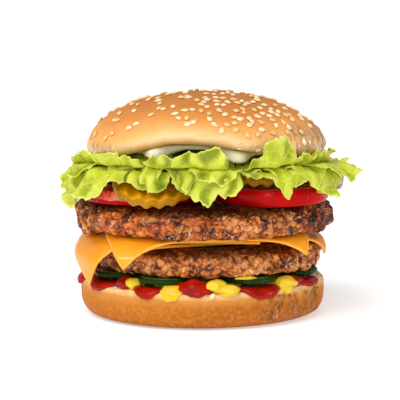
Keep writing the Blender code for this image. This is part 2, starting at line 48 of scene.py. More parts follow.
# Driving sizes. They are the solids' own, but for the dark chips' height, the mustard's front lobe
# and the margin of the front right leaf
HEEL_RADIUS, HEEL_HEIGHT, HEEL_RIM_ROUND = 52.0, 15.8, 2.5
HEEL_PROFILE = ((44.0, 0.0), (48.6, 1.2), (51.0, 4.0), (52.0, 8.0), (52.0, 13.3))
KETCHUP_INSIDE, MUSTARD_INSIDE = 47.5, 44.5
KETCHUP_LOBES = (
    (188, 8, 54.0, 0.9), (212, 11, 53.6, 0.3), (243, 8, 53.8, 0.5), (267, 6, 52.6, 0.6),
    (300, 11, 54.2, 0.7), (335, 12, 52.6, 0.5), (25, 12, 53.5, 0.7), (72, 12, 51.0, 0.0),
    (120, 9, 53.5, 0.2),
)
MUSTARD_LOBES = (
    (230, 5, 50.0, 0.0), (255.5, 8.0, 54.2, 0.6), (282, 7, 52.6, 0.6), (314, 6, 52.8, 0.8),
    (45, 5, 53.0, 0.8), (94, 5, 52.0, 0.6), (141, 5, 51.0, 0.6),
)
# Lumps between the chips: angle, radius, height, half width, half depth, half height
KETCHUP_DOLLOPS = (
    (266, 47.6, 17.6, 8.0, 5.0, 3.5), (229, 47.6, 17.4, 4.6, 4.4, 2.8), (322, 47.6, 17.4, 4.6, 4.2, 2.6),
    (46, 47.0, 17.6, 5.0, 4.6, 3.0), (93, 47.0, 17.6, 6.0, 4.6, 3.0), (188, 47.0, 17.6, 5.0, 4.6, 3.0),
)
MUSTARD_DOLLOPS = (
    (277, 48.0, 18.2, 4.4, 4.4, 3.0), (283, 49.4, 17.0, 4.6, 4.2, 2.3), (234, 48.2, 17.8, 3.6, 3.4, 2.4),
    (316, 48.6, 17.6, 5.6, 3.8, 2.6), (292, 47.6, 21.4, 4.4, 2.4, 0.7), (141, 46.8, 17.6, 5.0, 4.4, 2.9),
)
CHIP_RADIUS, CHIP_RING, CHIP_LOW = 11.0, 40.5, 18.7
CHIP_ANGLES = (211, 247, 299, 341, 22, 69, 118, 164)
LOWER_PATTY_X, LOWER_PATTY_RADIUS, LOWER_PATTY_UNDER, LOWER_PATTY_TOP = 2.0, 48.3, 21.6, 32.6
UPPER_PATTY_X, UPPER_PATTY_RADIUS, UPPER_PATTY_UNDER, UPPER_PATTY_TOP = 0.5, 54.6, 38.2, 50.3
PATTY_RIM = ((0.93, 0.0), (0.98, 0.16), (1.0, 0.42), (0.995, 0.68), (0.965, 0.88), (0.915, 1.0))
UPPER_DROOPS = ((192, 17, 2.2), (272, 22, 0.4), (350, 12, 1.8))
SLICE_SIDE, SLICE_THICK, SLICE_STEP, SLICE_SPREAD = 84.0, 1.3, 1.75, 0.5
DRAPE_START, DRAPE_BEND_FRONT, DRAPE_BEND_BACK = 45.2, 6.0, 9.0
SLICES = (
    ("right", 1.9, 10.7, 20.0), ("left", -15.6, 3.6, -3.0), ("front", -1.1, -4.0, 7.5),
)
TOMATOES = (
    ("left", -25.2, -13.5, 50.6, 25.5, 6.0, 0.0, 0.0),
    ("right", 28.8, -18.0, 50.9, 24.1, 7.2, 1.4, 0.0),
    ("back", -14.0, 32.0, 50.6, 20.0, 6.0, 0.0, 0.0),
)
ONIONS = (
    ("left", -24.0, 0.0, 57.0, 21.0, 3.8, 0.0, 0.0),
    ("right", 40.5, 27.2, 52.3, 21.5, 6.4, 0.0, 8.0),
)
PICKLES = (
    ("left", -20.2, -36.0, 58.2, 17.2, 4.0, 24.0, 0.0),
    ("right", 24.3, -26.0, 58.9, 12.0, 3.8, 1.4, 0.0),
    ("side", 44.0, -12.0, 59.1, 8.8, 3.0, 1.4, 0.0),
)
CRINKLE_PITCH, CRINKLE_DEPTH = 5.6, 0.45
CROWN_RADIUS, CROWN_X, CROWN_TOP, CROWN_LIP, CROWN_UNDER = 50.4, 1.0, 94.4, 3.0, 76.0
CROWN_LOW_SIDE, CROWN_LIFT, CROWN_LIFT_ANGLE = 68.5, 8.6, 258
SEED_SIZE, SHOWN_SEED = (3.3, 2.1, 1.3), (3.5, 2.3, 1.4)
SOLID_SEEDS, SEED_RANDOM, SEED_TURN, SEED_OUTER = 54, 11, 137.508, 0.9
ALL_SEEDS = 205
LEAF_THICK, LEAF_STEP, LEAF_MIDDLE, LEAF_SLOPE, LEAF_BEND = 1.1, 1.9, 64.5, 0.045, 6.0
MAYO_THICK, MAYO_RADIUS, MAYO_GAP = 2.2, 40.0, 0.8
MAYO_LOBES = ((245, 9, 8.5, 3.6), (289, 9, 8.5, 3.4), (70, 14, 6.0, 1.0), (150, 12, 6.0, 1.0))
# Each leaf: first and last angle, layer, inner radius, shoulder radii, droop, ruffle depth and
# count, and its reach past the shoulder at shares of its width
LEAVES = (
    ("leaf_left", 189, 237, 0, 12, 52, 55, 58, 2.0, 3.5,
     ((0, 9), (0.12, 13), (0.25, 15), (0.37, 17), (0.46, 21), (0.56, 18.5), (0.72, 15), (0.88, 9), (1, 6))),
    ("leaf_front_left", 238, 256, 0, 12, 52, 50, 78, 1.3, 2.0,
     ((0, 7), (0.3, 10), (0.6, 11), (0.85, 9), (1, 7))),
    ("leaf_front", 257, 287, 0, 12, 50, 52, 82, 1.5, 2.5,
     ((0, 7), (0.17, 10.5), (0.37, 14.4), (0.52, 16.6), (0.6, 13), (0.66, 10.3), (0.88, 11.4), (1, 6))),
    ("leaf_front_right", 288, 316, 0, 12, 50, 55, 75, 1.4, 2.0,
     ((0, 3.4), (0.4, 3.6), (0.54, 9), (0.61, 14), (0.7, 11.5), (0.82, 9), (1, 7))),
    ("leaf_right", 317, 343, 0, 12, 55, 56, 72, 1.5, 2.0,
     ((0, 9), (0.12, 12), (0.4, 12.5), (0.62, 15.4), (0.8, 14), (1, 9))),
    ("leaf_back_right", 344, 60, 0, 12, 52, 52, 8, 1.3, 4.0,
     ((0, 7), (0.3, 11), (0.5, 12), (0.7, 10), (1, 6))),
    ("leaf_back", 61, 122, 0, 12, 51, 51, 62, 1.8, 4.5,
     ((0, 7), (0.25, 11), (0.5, 14), (0.7, 10), (1, 7))),
    ("leaf_back_left", 123, 188, 0, 12, 51, 52, 58, 1.8, 4.5,
     ((0, 7), (0.3, 12), (0.5, 15), (0.75, 12), (1, 8))),
    ("curl_left", 194, 243, 1, 45, 52, 52, -60, 1.1, 3.0,
     ((0, 4), (0.2, 7), (0.3, 9), (0.42, 6), (0.58, 9.5), (0.7, 8), (0.85, 9), (1, 7))),
    ("curl_front", 245, 281, 1, 12, 52, 52, -75, 0.9, 2.5,
     ((0, 5), (0.13, 8), (0.25, 9.1), (0.34, 6.5), (0.47, 8.9), (0.61, 9.7), (0.86, 12.6), (1, 8))),
    ("curl_right", 289, 313, 1, 12, 52, 52, -80, 0.9, 1.5,
     ((0, 3), (0.25, 7.5), (0.37, 13), (0.5, 16), (0.78, 15.4), (0.9, 9.4), (1, 5))),
    ("curl_side", 323, 350, 1, 12, 58, 58, 34, 1.3, 1.5,
     ((0, 6), (0.25, 9), (0.6, 13), (0.85, 10), (1, 5))),
)
# Folds that lie on a leaf: the same numbers, with the leaf's name first and the layer as a share
FOLDS = (
    ("leaf_left", 196, 220, 0.75, 42, 50, 52, 22, 1.2, 1.0,
     ((0, 3), (0.3, 10), (0.6, 14), (0.85, 8), (1, 3))),
    ("leaf_left", 222, 238, 0.55, 40, 49, 49, 66, 1.0, 1.0, ((0, 3), (0.35, 9), (0.6, 11), (1, 3))),
    ("leaf_front_left", 241, 252, 0.6, 42, 50, 50, 88, 0.9, 1.0, ((0, 4), (0.3, 8.5), (0.7, 9), (1, 4))),
    ("leaf_front", 253, 268, 0.55, 41, 49, 50, 62, 1.1, 1.0, ((0, 3), (0.35, 8), (0.7, 12), (1, 5))),
    ("leaf_front", 264, 286, 0.8, 40, 51, 52, 50, 0.7, 0.8,
     ((0, 4), (0.25, 8), (0.6, 9.5), (0.85, 7), (1, 3))),
    ("leaf_front_right", 299, 314, 0.6, 41, 51, 53, 70, 0.9, 1.0,
     ((0, 3), (0.35, 8), (0.6, 11), (0.8, 7), (1, 3))),
    ("leaf_front_right", 284, 300, 0.5, 41, 48, 49, 45, 0.6, 0.8, ((0, 3), (0.5, 5), (1, 3))),
    ("leaf_right", 309, 330, 0.7, 42, 52, 53, 48, 1.1, 1.2, ((0, 3), (0.4, 11), (0.7, 12), (1, 4))),
    ("leaf_right", 309, 348, 1.0, 42, 49, 50, -52, 0.9, 1.5,
     ((0, 4), (0.25, 9), (0.6, 11), (0.85, 8), (1, 4))),
    ("leaf_back_right", 352, 30, 1.0, 42, 49, 50, -30, 0.9, 1.5, ((0, 3), (0.4, 8), (0.7, 7), (1, 3))),
    ("leaf_back_right", 352, 20, 0.6, 42, 51, 51, 20, 1.0, 1.2, ((0, 3), (0.5, 10), (1, 3))),
    ("leaf_back", 70, 98, 0.6, 42, 50, 50, 45, 1.0, 1.3, ((0, 3), (0.4, 10), (0.7, 11), (1, 3))),
    ("leaf_back_left", 140, 170, 0.6, 42, 50, 50, 45, 1.0, 1.3, ((0, 3), (0.4, 11), (0.7, 10), (1, 3))),
)

# Wrinkled crust: first and last angle, and how softly it ends; then the beef's darkest side
CROWN_WRINKLED, CROWN_END_WRINKLED, HEEL_WRINKLED = (318, 372, 14), (196, 226, 10), (296, 346, 10)
BEEF_DARK_SIDE = (318, 395, 12)
BREAD_CRUMBS, MEAT_CRUMBS, CRUST_FLAKES, WATER_DROPS = 34, 26, 16, 26
# Stage, in metres and degrees
FLOOR_HALF, FLOOR_WHITE, FLOOR_GLOW, WORLD_LIGHT = 6.0, 0.9, 0.42, 0.38
CAMERA_LENS, CAMERA_RISE, CAMERA_AIM = 209.0, 8.0, (-0.0009, 0.0, 0.0477)


# Numbers

def smooth(low, high, value):
    t = min(max((value - low) / (high - low), 0.0), 1.0)
    return t * t * (3 - 2 * t)


def turn_between(angle, middle):
    return (angle - middle + 180.0) % 360.0 - 180.0


def bump(angle, middle, half_width):
    return exp(-((turn_between(angle, middle) / half_width) ** 2))


def window(angle, first, last, ease):
    middle, half = (first + last) / 2, (last - first) / 2
    return 1.0 - smooth(half - ease, half + ease, abs(turn_between(angle, middle)))


def polar(radius, angle, height, centre_x=0.0, centre_y=0.0):
    a = radians(angle)
    return Vector((centre_x + radius * cos(a), centre_y + radius * sin(a), height))


def along_points(points, t):
    """A smooth line through (place, value) points, at place t."""
    if t <= points[0][0]:
        return points[0][1]
    for (t0, v0), (t1, v1) in zip(points, points[1:]):
        if t <= t1:
            return v0 + (v1 - v0) * smooth(0, 1, (t - t0) / (t1 - t0))
    return points[-1][1]


def spline(points, count):
    """Points of a Catmull-Rom line through the given ones."""
    pts = [points[0], *points, points[-1]]
    made = []
    spans = len(points) - 1
    for k in range(count + 1):
        at = k / count * spans
        i = min(int(at), spans - 1)
        t = at - i
        p0, p1, p2, p3 = (np.array(p, float) for p in pts[i:i + 4])
        made.append(0.5 * (2 * p1 + (p2 - p0) * t + (2 * p0 - 5 * p1 + 4 * p2 - p3) * t * t
                           + (3 * p1 - p0 - 3 * p2 + p3) * t**3))
    return made


def lump(x, y, z, scale, seed=0.0):
    """Smooth noise, from about -1 to 1, with features of the given size in millimetres."""
    return noise.noise(Vector((x / scale + seed, y / scale, z / scale)))


def ridge(x, y, z, scale, seed=0.0):
    return 1.0 - min(abs(lump(x, y, z, scale, seed)) * 3.2, 1.0)


# Meshes

def place(name, spots, faces, looks, slot, nodes=(), face_looks=None):
    """One piece from (point, tone, mark) spots; tone and mark are read by its material."""
    mesh = bpy.data.meshes.new(name)
    mesh.from_pydata([tuple(s[0] * MM) for s in spots], [], faces)
    for look in looks:
        mesh.materials.append(look)
    if face_looks:
        mesh.polygons.foreach_set("material_index", face_looks)
    mesh.polygons.foreach_set("use_smooth", [True] * len(mesh.polygons))
    for key, index in (("tone", 1), ("mark", 2)):
        made = mesh.attributes.new(key, "FLOAT", "POINT")
        made.data.foreach_set("value", [float(s[index]) for s in spots])
    mesh.update()
    item = bpy.data.objects.new(name, mesh)
    bpy.context.scene.collection.objects.link(item)
    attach(item, "root")
    if nodes:
        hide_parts(*nodes)
    return item


def turned(sectors, rings):
    """Spots and faces of a closed body round a vertical axis, from the axis's bottom to its top."""
    columns = [rings(360.0 * i / sectors) for i in range(sectors)]
    count = len(columns[0]) - 2
    spots = [columns[0][0], columns[0][-1]]
    for column in columns:
        spots.extend(column[1:-1])
    faces = []
    for i in range(sectors):
        here, there = 2 + i * count, 2 + ((i + 1) % sectors) * count
        faces.append((0, there, here))
        faces.append((1, here + count - 1, there + count - 1))
        faces.extend((here + j, there + j, there + j + 1, here + j + 1) for j in range(count - 1))
    return spots, faces


def lowest_ring(face, count):
    """The lowest ring that a face of a turned body touches, with count spots a column."""
    return min((i - 2) % count for i in face if i > 1)


def sheet(us, vs, spot):
    """Spots and faces of a closed thin body with a lower (0) and an upper (1) side."""
    wide, deep = len(us), len(vs)
    spots = []
    for side in (0, 1):
        spots.extend(spot(u, v, side) for u in us for v in vs)
    top = wide * deep
    faces = []
    for i in range(wide - 1):
        for j in range(deep - 1):
            a, b = i * deep + j, (i + 1) * deep + j
            c, d = b + 1, a + 1
            faces.append((a, d, c, b))
            faces.append((top + a, top + b, top + c, top + d))
    rim = [i * deep for i in range(wide)]
    rim += [(wide - 1) * deep + j for j in range(1, deep)]
    rim += [i * deep + deep - 1 for i in range(wide - 2, -1, -1)]
    rim += [j for j in range(deep - 2, 0, -1)]
    faces.extend((a, b, top + b, top + a) for a, b in zip(rim, rim[1:] + rim[:1]))
    return spots, faces


def joined(parts):
    """Several bodies' spots and faces as one."""
    spots, faces = [], []
    for more_spots, more_faces in parts:
        start = len(spots)
        spots.extend(more_spots)
        faces.extend(tuple(start + i for i in face) for face in more_faces)
    return spots, faces


# Materials

def rgb(code):
    """A screen colour as the shader's own."""
    shares = [c / 255 for c in bytes.fromhex(code)]
    return tuple(s / 12.92 if s <= 10 / 255 else ((s + 0.055) / 1.055) ** 2.4 for s in shares) + (1.0,)


class Look:
    """A procedural material, built node by node.

    gloss is the specular level, coat weight and coat roughness; deep is the weight and the radii in
    millimetres of light that spreads under the surface.
    """

    def __init__(self, name, gloss=(), deep=None, **values):
        self.material = bpy.data.materials.new(name)
        self.material.use_nodes = True
        self.tree = self.material.node_tree
        self.shader = self.tree.nodes["Principled BSDF"]
        self.place = self.add("ShaderNodeTexCoord").outputs["Object"]
        values.update(zip(("Specular_IOR_Level", "Coat_Weight", "Coat_Roughness"), gloss))
        if deep:
            values.update(Subsurface_Weight=deep[0], Subsurface_Radius=deep[1:], Subsurface_Scale=MM)
        for key, value in values.items():
            self.shader.inputs[key.replace("_", " ")].default_value = value

    def add(self, kind, **values):
        node = self.tree.nodes.new(kind)
        for key, value in values.items():
            setattr(node, key, value)
        return node

    def join(self, source, target):
        """Sets a socket from another socket, a colour's code or a number."""
        if isinstance(source, bpy.types.NodeSocket):
            self.tree.links.new(source, target)
        else:
            target.default_value = rgb(source) if isinstance(source, str) else source

    def stretched(self, stretch):
        node = self.add("ShaderNodeMapping")
        node.inputs["Scale"].default_value = stretch
        self.join(self.place, node.inputs["Vector"])
        return node.outputs["Vector"]

    def noise(self, scale, detail, roughness=0.55, stretch=None, distortion=0.0):
        node = self.add("ShaderNodeTexNoise")
        self.join(self.stretched(stretch) if stretch else self.place, node.inputs["Vector"])
        node.inputs["Scale"].default_value = scale
        node.inputs["Detail"].default_value = detail
        node.inputs["Roughness"].default_value = roughness
        node.inputs["Distortion"].default_value = distortion
        return node.outputs["Fac"]

    def cells(self, scale, feature="F1"):
        node = self.add("ShaderNodeTexVoronoi", feature=feature)
        self.join(self.place, node.inputs["Vector"])
        node.inputs["Scale"].default_value = scale
        return node.outputs["Distance"]

    def read(self, name):
        return self.add("ShaderNodeAttribute", attribute_name=name).outputs["Fac"]

    def sum(self, a, b, share=1.0, offset=0.0):
        """a + share * (b + offset)"""
        node = self.add("ShaderNodeMath", operation="ADD")
        self.join(b, node.inputs[0])
        node.inputs[1].default_value = offset
        scaled = self.add("ShaderNodeMath", operation="MULTIPLY_ADD")
        self.join(node.outputs[0], scaled.inputs[0])
        scaled.inputs[1].default_value = share
        self.join(a, scaled.inputs[2])
        return scaled.outputs[0]

    def times(self, a, b):
        node = self.add("ShaderNodeMath", operation="MULTIPLY")
        self.join(a, node.inputs[0])
        self.join(b, node.inputs[1])
        return node.outputs[0]

    def between(self, value, low, high, to_low=0.0, to_high=1.0):
        node = self.add("ShaderNodeMapRange", interpolation_type="SMOOTHSTEP")
        self.join(value, node.inputs["Value"])
        for key, number in (("From Min", low), ("From Max", high), ("To Min", to_low), ("To Max", to_high)):
            node.inputs[key].default_value = number
        return node.outputs["Result"]

    def mark(self, *span):
        return self.between(self.read("mark"), *span)

    def tone(self, *span):
        return self.between(self.read("tone"), *span)

    def ramp(self, value, *stops):
        node = self.add("ShaderNodeValToRGB")
        self.join(value, node.inputs["Fac"])
        elements = node.color_ramp.elements
        for at, _ in stops[2:]:
            elements.new(at)
        for element, (at, _) in zip(elements, stops):
            element.position = at
        for element, (at, code) in zip(elements, stops):
            element.color = rgb(code)
        return node.outputs["Color"]

    def blend(self, share, a, b, kind="MIX"):
        node = self.add("ShaderNodeMix", data_type="RGBA", blend_type=kind)
        # Inputs 6 and 7 and output 2 are the node's colours
        self.join(share, node.inputs["Factor"])
        self.join(a, node.inputs[6])
        self.join(b, node.inputs[7])
        return node.outputs[2]

    def lined(self, base, share, light, dark):
        """Painted highlights and painted shade on wrinkled crust, as pale and dark lines over a colour."""
        lines = self.noise(210, 5, 0.6, stretch=(1, 1, 0.7), distortion=2.5)
        base = self.blend(self.times(self.between(lines, 0.54, 0.62, 0.0, 0.65), share), base, light)
        return self.blend(self.times(self.between(lines, 0.36, 0.47, 0.4, 0.0), share), base, dark)

    def color(self, source):
        self.join(source, self.shader.inputs["Base Color"])

    def roughness(self, source):
        self.join(source, self.shader.inputs["Roughness"])

    def rough(self, scale, detail, *span):
        self.roughness(self.between(self.noise(scale, detail), *span))

    def relief(self, *layers):
        """Bump layers of (height, strength, depth in millimetres)."""
        normal = None
        for height, strength, depth in layers:
            node = self.add("ShaderNodeBump")
            node.inputs["Strength"].default_value = strength
            node.inputs["Distance"].default_value = depth * MM
            self.join(height, node.inputs["Height"])
            if normal:
                self.join(normal, node.inputs["Normal"])
            normal = node.outputs["Normal"]
        self.join(normal, self.shader.inputs["Normal"])


def crust_look():
    look = Look("bun crust", (0.2, 0.0, 0.12), (0.08, 2.0, 1.0, 0.4))
    height = look.sum(look.read("tone"), look.noise(34, 4), 0.5, -0.5)
    height = look.sum(height, look.noise(150, 4), 0.14, -0.5)
    base = look.ramp(
        height, (0.0, "ecb270"), (0.1, "fad096"), (0.3, "fab66a"),
        (0.6, "e89846"), (1.0, "d47e2c"),
    )
    # Browner wrinkled crust from the mark, with painted shade in its fold hollows; then painted highlights
    # and painted shade as lines.
    base = look.blend(look.mark(0.2, 0.85, 0.0, 0.85), base, "ac6026")
    base = look.lined(base, look.mark(0.2, 0.5), "fcd6a0", "8c461a")
    specks = look.between(look.noise(700, 2), 0.64, 0.8, 0.0, 0.4)
    look.color(look.blend(specks, base, "b06226"))
    look.roughness(look.mark(0.05, 0.5, 0.46, 0.2))
    look.join(look.mark(0.05, 0.4, 0.0, 0.75), look.shader.inputs["Coat Weight"])
    creases = look.times(look.noise(190, 5, 0.65, stretch=(1, 1, 0.45), distortion=0.6), look.mark(0.05, 0.5))
    look.relief((look.noise(220, 4), 0.3, 0.5), (creases, 1.0, 3.0), (look.noise(1400, 3), 0.25, 0.15))
    return look.material


def crumb_look():
    look = Look("bun crumb", (0.2,), (0.12, 2.0, 1.2, 0.7), Roughness=0.85)
    base = look.ramp(look.noise(260, 5), (0.3, "e6c48a"), (0.7, "fae2b2"))
    look.color(base)
    look.relief((look.cells(420), 0.8, 0.6), (look.noise(900, 4), 0.5, 0.2))
    return look.material


def heel_look():
    look = Look("bottom bun crust", (0.1, 0.0, 0.12), (0.06, 2.0, 1.0, 0.3))
    height = look.sum(look.read("tone"), look.noise(60, 4), 0.12, -0.5)
    height = look.sum(height, look.noise(170, 4), 0.10, -0.5)
    base = look.ramp(
        height, (0.0, "3c1604"), (0.04, "86440c"), (0.2, "b26416"),
        (0.6, "c27220"), (0.82, "d48e40"), (0.95, "f6d496"),
    )
    # Painted shade: darker crust where the mark is, at the lower front right and in the fold hollows; then
    # painted highlights and painted shade as lines on the wrinkles.
    base = look.blend(look.mark(0.0, 0.6, 0.0, 0.75), base, "9c5212")
    base = look.lined(base, look.mark(0.45, 0.7), "f8ce92", "76380c")
    pores = look.between(look.cells(620), 0.0, 0.3, 0.6, 0.0)
    base = look.blend(pores, base, "9e581a")
    mottle = look.between(look.noise(620, 5, 0.65), 0.42, 0.64, 0.0, 0.4)
    look.color(look.blend(mottle, base, "d89246"))
    look.roughness(look.mark(0.2, 1.0, 0.6, 0.2))
    look.join(look.mark(0.4, 0.8, 0.0, 0.75), look.shader.inputs["Coat Weight"])
    creases = look.times(look.noise(190, 5, 0.65, stretch=(1, 1, 0.5), distortion=0.6), look.mark(0.3, 0.8))
    look.relief((look.noise(460, 5, 0.65), 0.6, 0.5), (creases, 1.0, 3.0), (look.cells(700), 0.5, 0.35))
    return look.material


def patty_look(name, rust, pink):
    look = Look(name, (0.12, 0.24, 0.1), (0.04, 1.0, 0.4, 0.2))
    # The tone holds painted shade in the crevices between the grains, over the meat's random browning.
    height = look.sum(look.read("tone"), look.noise(150, 6, 0.62), 1.5, -0.5)
    height = look.sum(height, look.noise(900, 3, 0.6), 0.4, -0.5)
    meat = look.ramp(
        height, (0.0, "1e0800"), (0.25, "6c2e06"), (0.45, "b05e18"),
        (0.65, "d68838"), (0.95, "f6c278"),
    )
    rosy = look.times(look.between(look.noise(60, 3), 0.4, 0.6, 0.0, pink), look.tone(0.25, 0.6))
    meat = look.blend(rosy, meat, "d4905e")
    burnt = look.between(look.noise(75, 3), 0.44, 0.62, 0.0, rust)
    meat = look.blend(burnt, meat, "eaa260", "MULTIPLY")
    # Darker towards the top of the rim.
    sear = look.sum(look.read("mark"), look.noise(130, 5, 0.6), 1.3, -0.5)
    meat = look.blend(look.between(sear, 0.55, 0.95, 0.0, 0.9), meat, "3e1402")
    # Painted highlights: pale glint specks, most on the lower part of the rim.
    wet = look.times(look.noise(85, 3), look.mark(0.35, 0.9, 1.0, 0.55))
    glint = look.between(look.noise(400, 3, 0.6, distortion=1.5), 0.58, 0.66)
    glint = look.times(glint, look.between(wet, 0.42, 0.54, 0.0, 0.7))
    look.color(look.blend(glint, meat, "ffd8b0"))
    look.rough(300, 4, 0.38, 0.62, 0.14, 0.6)
    look.relief((look.noise(230, 5, 0.55), 0.6, 1.0), (look.noise(1100, 3), 0.2, 0.2))
    return look.material


def cheese_look():
    look = Look("melted cheese", (0.2, 0.3, 0.07), (0.15, 2.5, 1.0, 0.1))
    base = look.ramp(look.noise(45, 3), (0.3, "fa9610"), (0.7, "ffa620"))
    look.color(look.blend(look.tone(0.0, 1.0, 0.0, 0.45), base, "ffbe48"))
    look.rough(160, 3, 0.35, 0.65, 0.26, 0.42)
    look.relief((look.noise(120, 3), 0.25, 0.35), (look.noise(900, 2), 0.08, 0.1))
    return look.material


def tomato_look():
    look = Look("tomato", (0.03, 0.1, 0.05), (0.03, 2.0, 0.1, 0.05))
    flesh = look.ramp(look.noise(150, 5), (0.4, "d62816"), (0.62, "fc9c7c"))
    skin = look.ramp(look.noise(70, 4), (0.25, "b00200"), (0.75, "cc0a04"))
    core = look.mark(0.02, 0.3, 0.5, 0.0)
    flesh = look.blend(core, flesh, "ec966e")
    look.color(look.blend(look.tone(0.3, 0.8), flesh, skin))
    look.rough(200, 3, 0.3, 0.7, 0.12, 0.28)
    look.relief((look.noise(260, 3), 0.15, 0.3),)
    return look.material


def onion_look():
    look = Look("red onion", (0.25, 0.2, 0.08), (0.3, 2.0, 1.2, 1.4))
    flesh = look.ramp(look.noise(120, 3), (0.3, "d6c0ba"), (0.7, "eee0d6"))
    rings = look.blend(look.mark(0.5, 0.95, 0.0, 0.8), flesh, "965c80")
    look.color(look.blend(look.tone(0.35, 0.8, 0.0, 0.92), rings, "703632"))
    look.rough(200, 2, 0.3, 0.7, 0.2, 0.35)
    look.relief((look.noise(300, 3), 0.2, 0.2),)
    return look.material


def pickle_look():
    look = Look("crinkle cut pickle", (0.15, 0.15, 0.06), (0.12, 2.0, 1.2, 0.1))
    flesh = look.ramp(
        look.noise(110, 5), (0.25, "ce8200"), (0.5, "de9802"), (0.78, "e8b824"),
    )
    look.color(look.blend(look.tone(0.2, 0.9, 0.0, 0.75), flesh, "966800"))
    look.rough(240, 3, 0.3, 0.7, 0.14, 0.36)
    look.relief((look.noise(300, 4), 0.35, 0.35), (look.noise(1100, 2), 0.1, 0.1))
    return look.material


def chip_look():
    look = Look("dark pickle chip", (0.05, 0.1, 0.05), (0.08, 1.0, 1.2, 0.2))
    flesh = look.ramp(look.noise(160, 4), (0.3, "40541e"), (0.7, "6e7e34"))
    skin = look.ramp(look.noise(140, 4, stretch=(1, 1, 0.3)), (0.3, "0a2602"), (0.72, "1a4208"))
    look.color(look.blend(look.tone(0.3, 0.75), flesh, skin))
    look.rough(200, 3, 0.3, 0.7, 0.1, 0.3)
    look.relief((look.noise(400, 3), 0.25, 0.25),)
    return look.material


def sauce_look(name, dark, light, rough, deep=0.05):
    look = Look(name, (0.05, 0.3, 0.05), (deep, 1.2, 0.5 + deep, 0.2 + deep))
    look.color(look.ramp(look.noise(180, 4), (0.3, dark), (0.7, light)))
    look.rough(300, 3, 0.3, 0.7, rough, rough + 0.16)
    look.relief((look.noise(160, 3), 0.3, 0.5), (look.noise(900, 3), 0.12, 0.1))
    return look.material


def lettuce_look():
    look = Look("lettuce", (0.16,), (0.15, 1.4, 1.2, 0.1))
    patch = look.sum(look.noise(48, 4), look.noise(260, 4), 0.4, -0.5)
    leaf = look.ramp(
        patch, (0.25, "7e9200"), (0.5, "bec81a"), (0.75, "dee25c"),
    )
    # Tone: the pale veins and margins, and painted light on frills turned up.
    leaf = look.blend(look.tone(0.0, 1.0, 0.0, 0.9), leaf, "eef07c")
    net = look.between(look.cells(150, "DISTANCE_TO_EDGE"), 0.0, 0.09, 0.5, 0.0)
    leaf = look.blend(net, leaf, "e2e668")
    fine = look.cells(420, "DISTANCE_TO_EDGE")
    leaf = look.blend(look.between(fine, 0.0, 0.1, 0.25, 0.0), leaf, "d8de5a")
    # Painted shade from the mark: the inner leaf and the frills turned down.
    look.color(look.blend(look.mark(0.1, 1.0, 0.0, 0.95), leaf, "4a6200"))
    look.rough(220, 3, 0.3, 0.7, 0.24, 0.42)
    look.relief((look.noise(230, 4), 0.6, 0.6), (net, 0.5, 0.6), (fine, 0.3, 0.25))
    return look.material


def seed_look():
    look = Look("sesame seed", (0.25,), (0.12, 1.0, 0.7, 0.3), Roughness=0.36)
    tint = look.sum(look.read("mark"), look.noise(700, 2), 0.4, -0.5)
    body = look.ramp(tint, (0.1, "ecc484"), (0.5, "f6daa4"), (0.9, "fdecc6"))
    look.color(look.blend(look.tone(0.2, 0.56, 0.8, 0.0), body, "ca8442"))
    look.relief((look.noise(1600, 2), 0.1, 0.08),)
    return look.material


def drop_look():
    look = Look("water drop", Roughness=0.03, IOR=1.33, Transmission_Weight=1.0)
    look.color(look.ramp(look.noise(600, 1), (0.3, "faece6"), (0.7, "fffaf8")))
    return look.material


# Top bun

def crown_low(angle):
    half_width = 30 if turn_between(angle, CROWN_LIFT_ANGLE) < 0 else 50
    return CROWN_LOW_SIDE + CROWN_LIFT * bump(angle, CROWN_LIFT_ANGLE, half_width) - 1.8 * bump(angle, 90, 60)


def crown_under(radius, angle):
    share = min(radius / (CROWN_RADIUS - CROWN_LIP), 1.0) ** 2.5
    return CROWN_UNDER + (crown_low(angle) - CROWN_UNDER) * share


def crown_round(angle):
    a = radians(angle)
    return CROWN_RADIUS * (1 + 0.006 * sin(2 * a + 1.0) + 0.006 * cos(a))


def crown_surface(share, angle):
    equator = crown_low(angle) + CROWN_LIP
    rise = (CROWN_TOP - equator) * (1 - share**2.2) ** 0.54
    return polar(crown_round(angle) * share, angle, equator + rise, CROWN_X)


def crown_wrinkle(angle, height):
    """Where the crust is wrinkled: at the right, and a little at the left end."""
    right = window(angle, *CROWN_WRINKLED) * (1 - smooth(7, 17, height))
    left = 0.55 * window(angle, *CROWN_END_WRINKLED) * (1 - smooth(4, 9, height))
    return max(right, left)


def crown_uneven(p):
    return 0.35 * lump(p.x, p.y, p.z, 17) + 0.12 * lump(p.x, p.y, p.z, 5, 4)


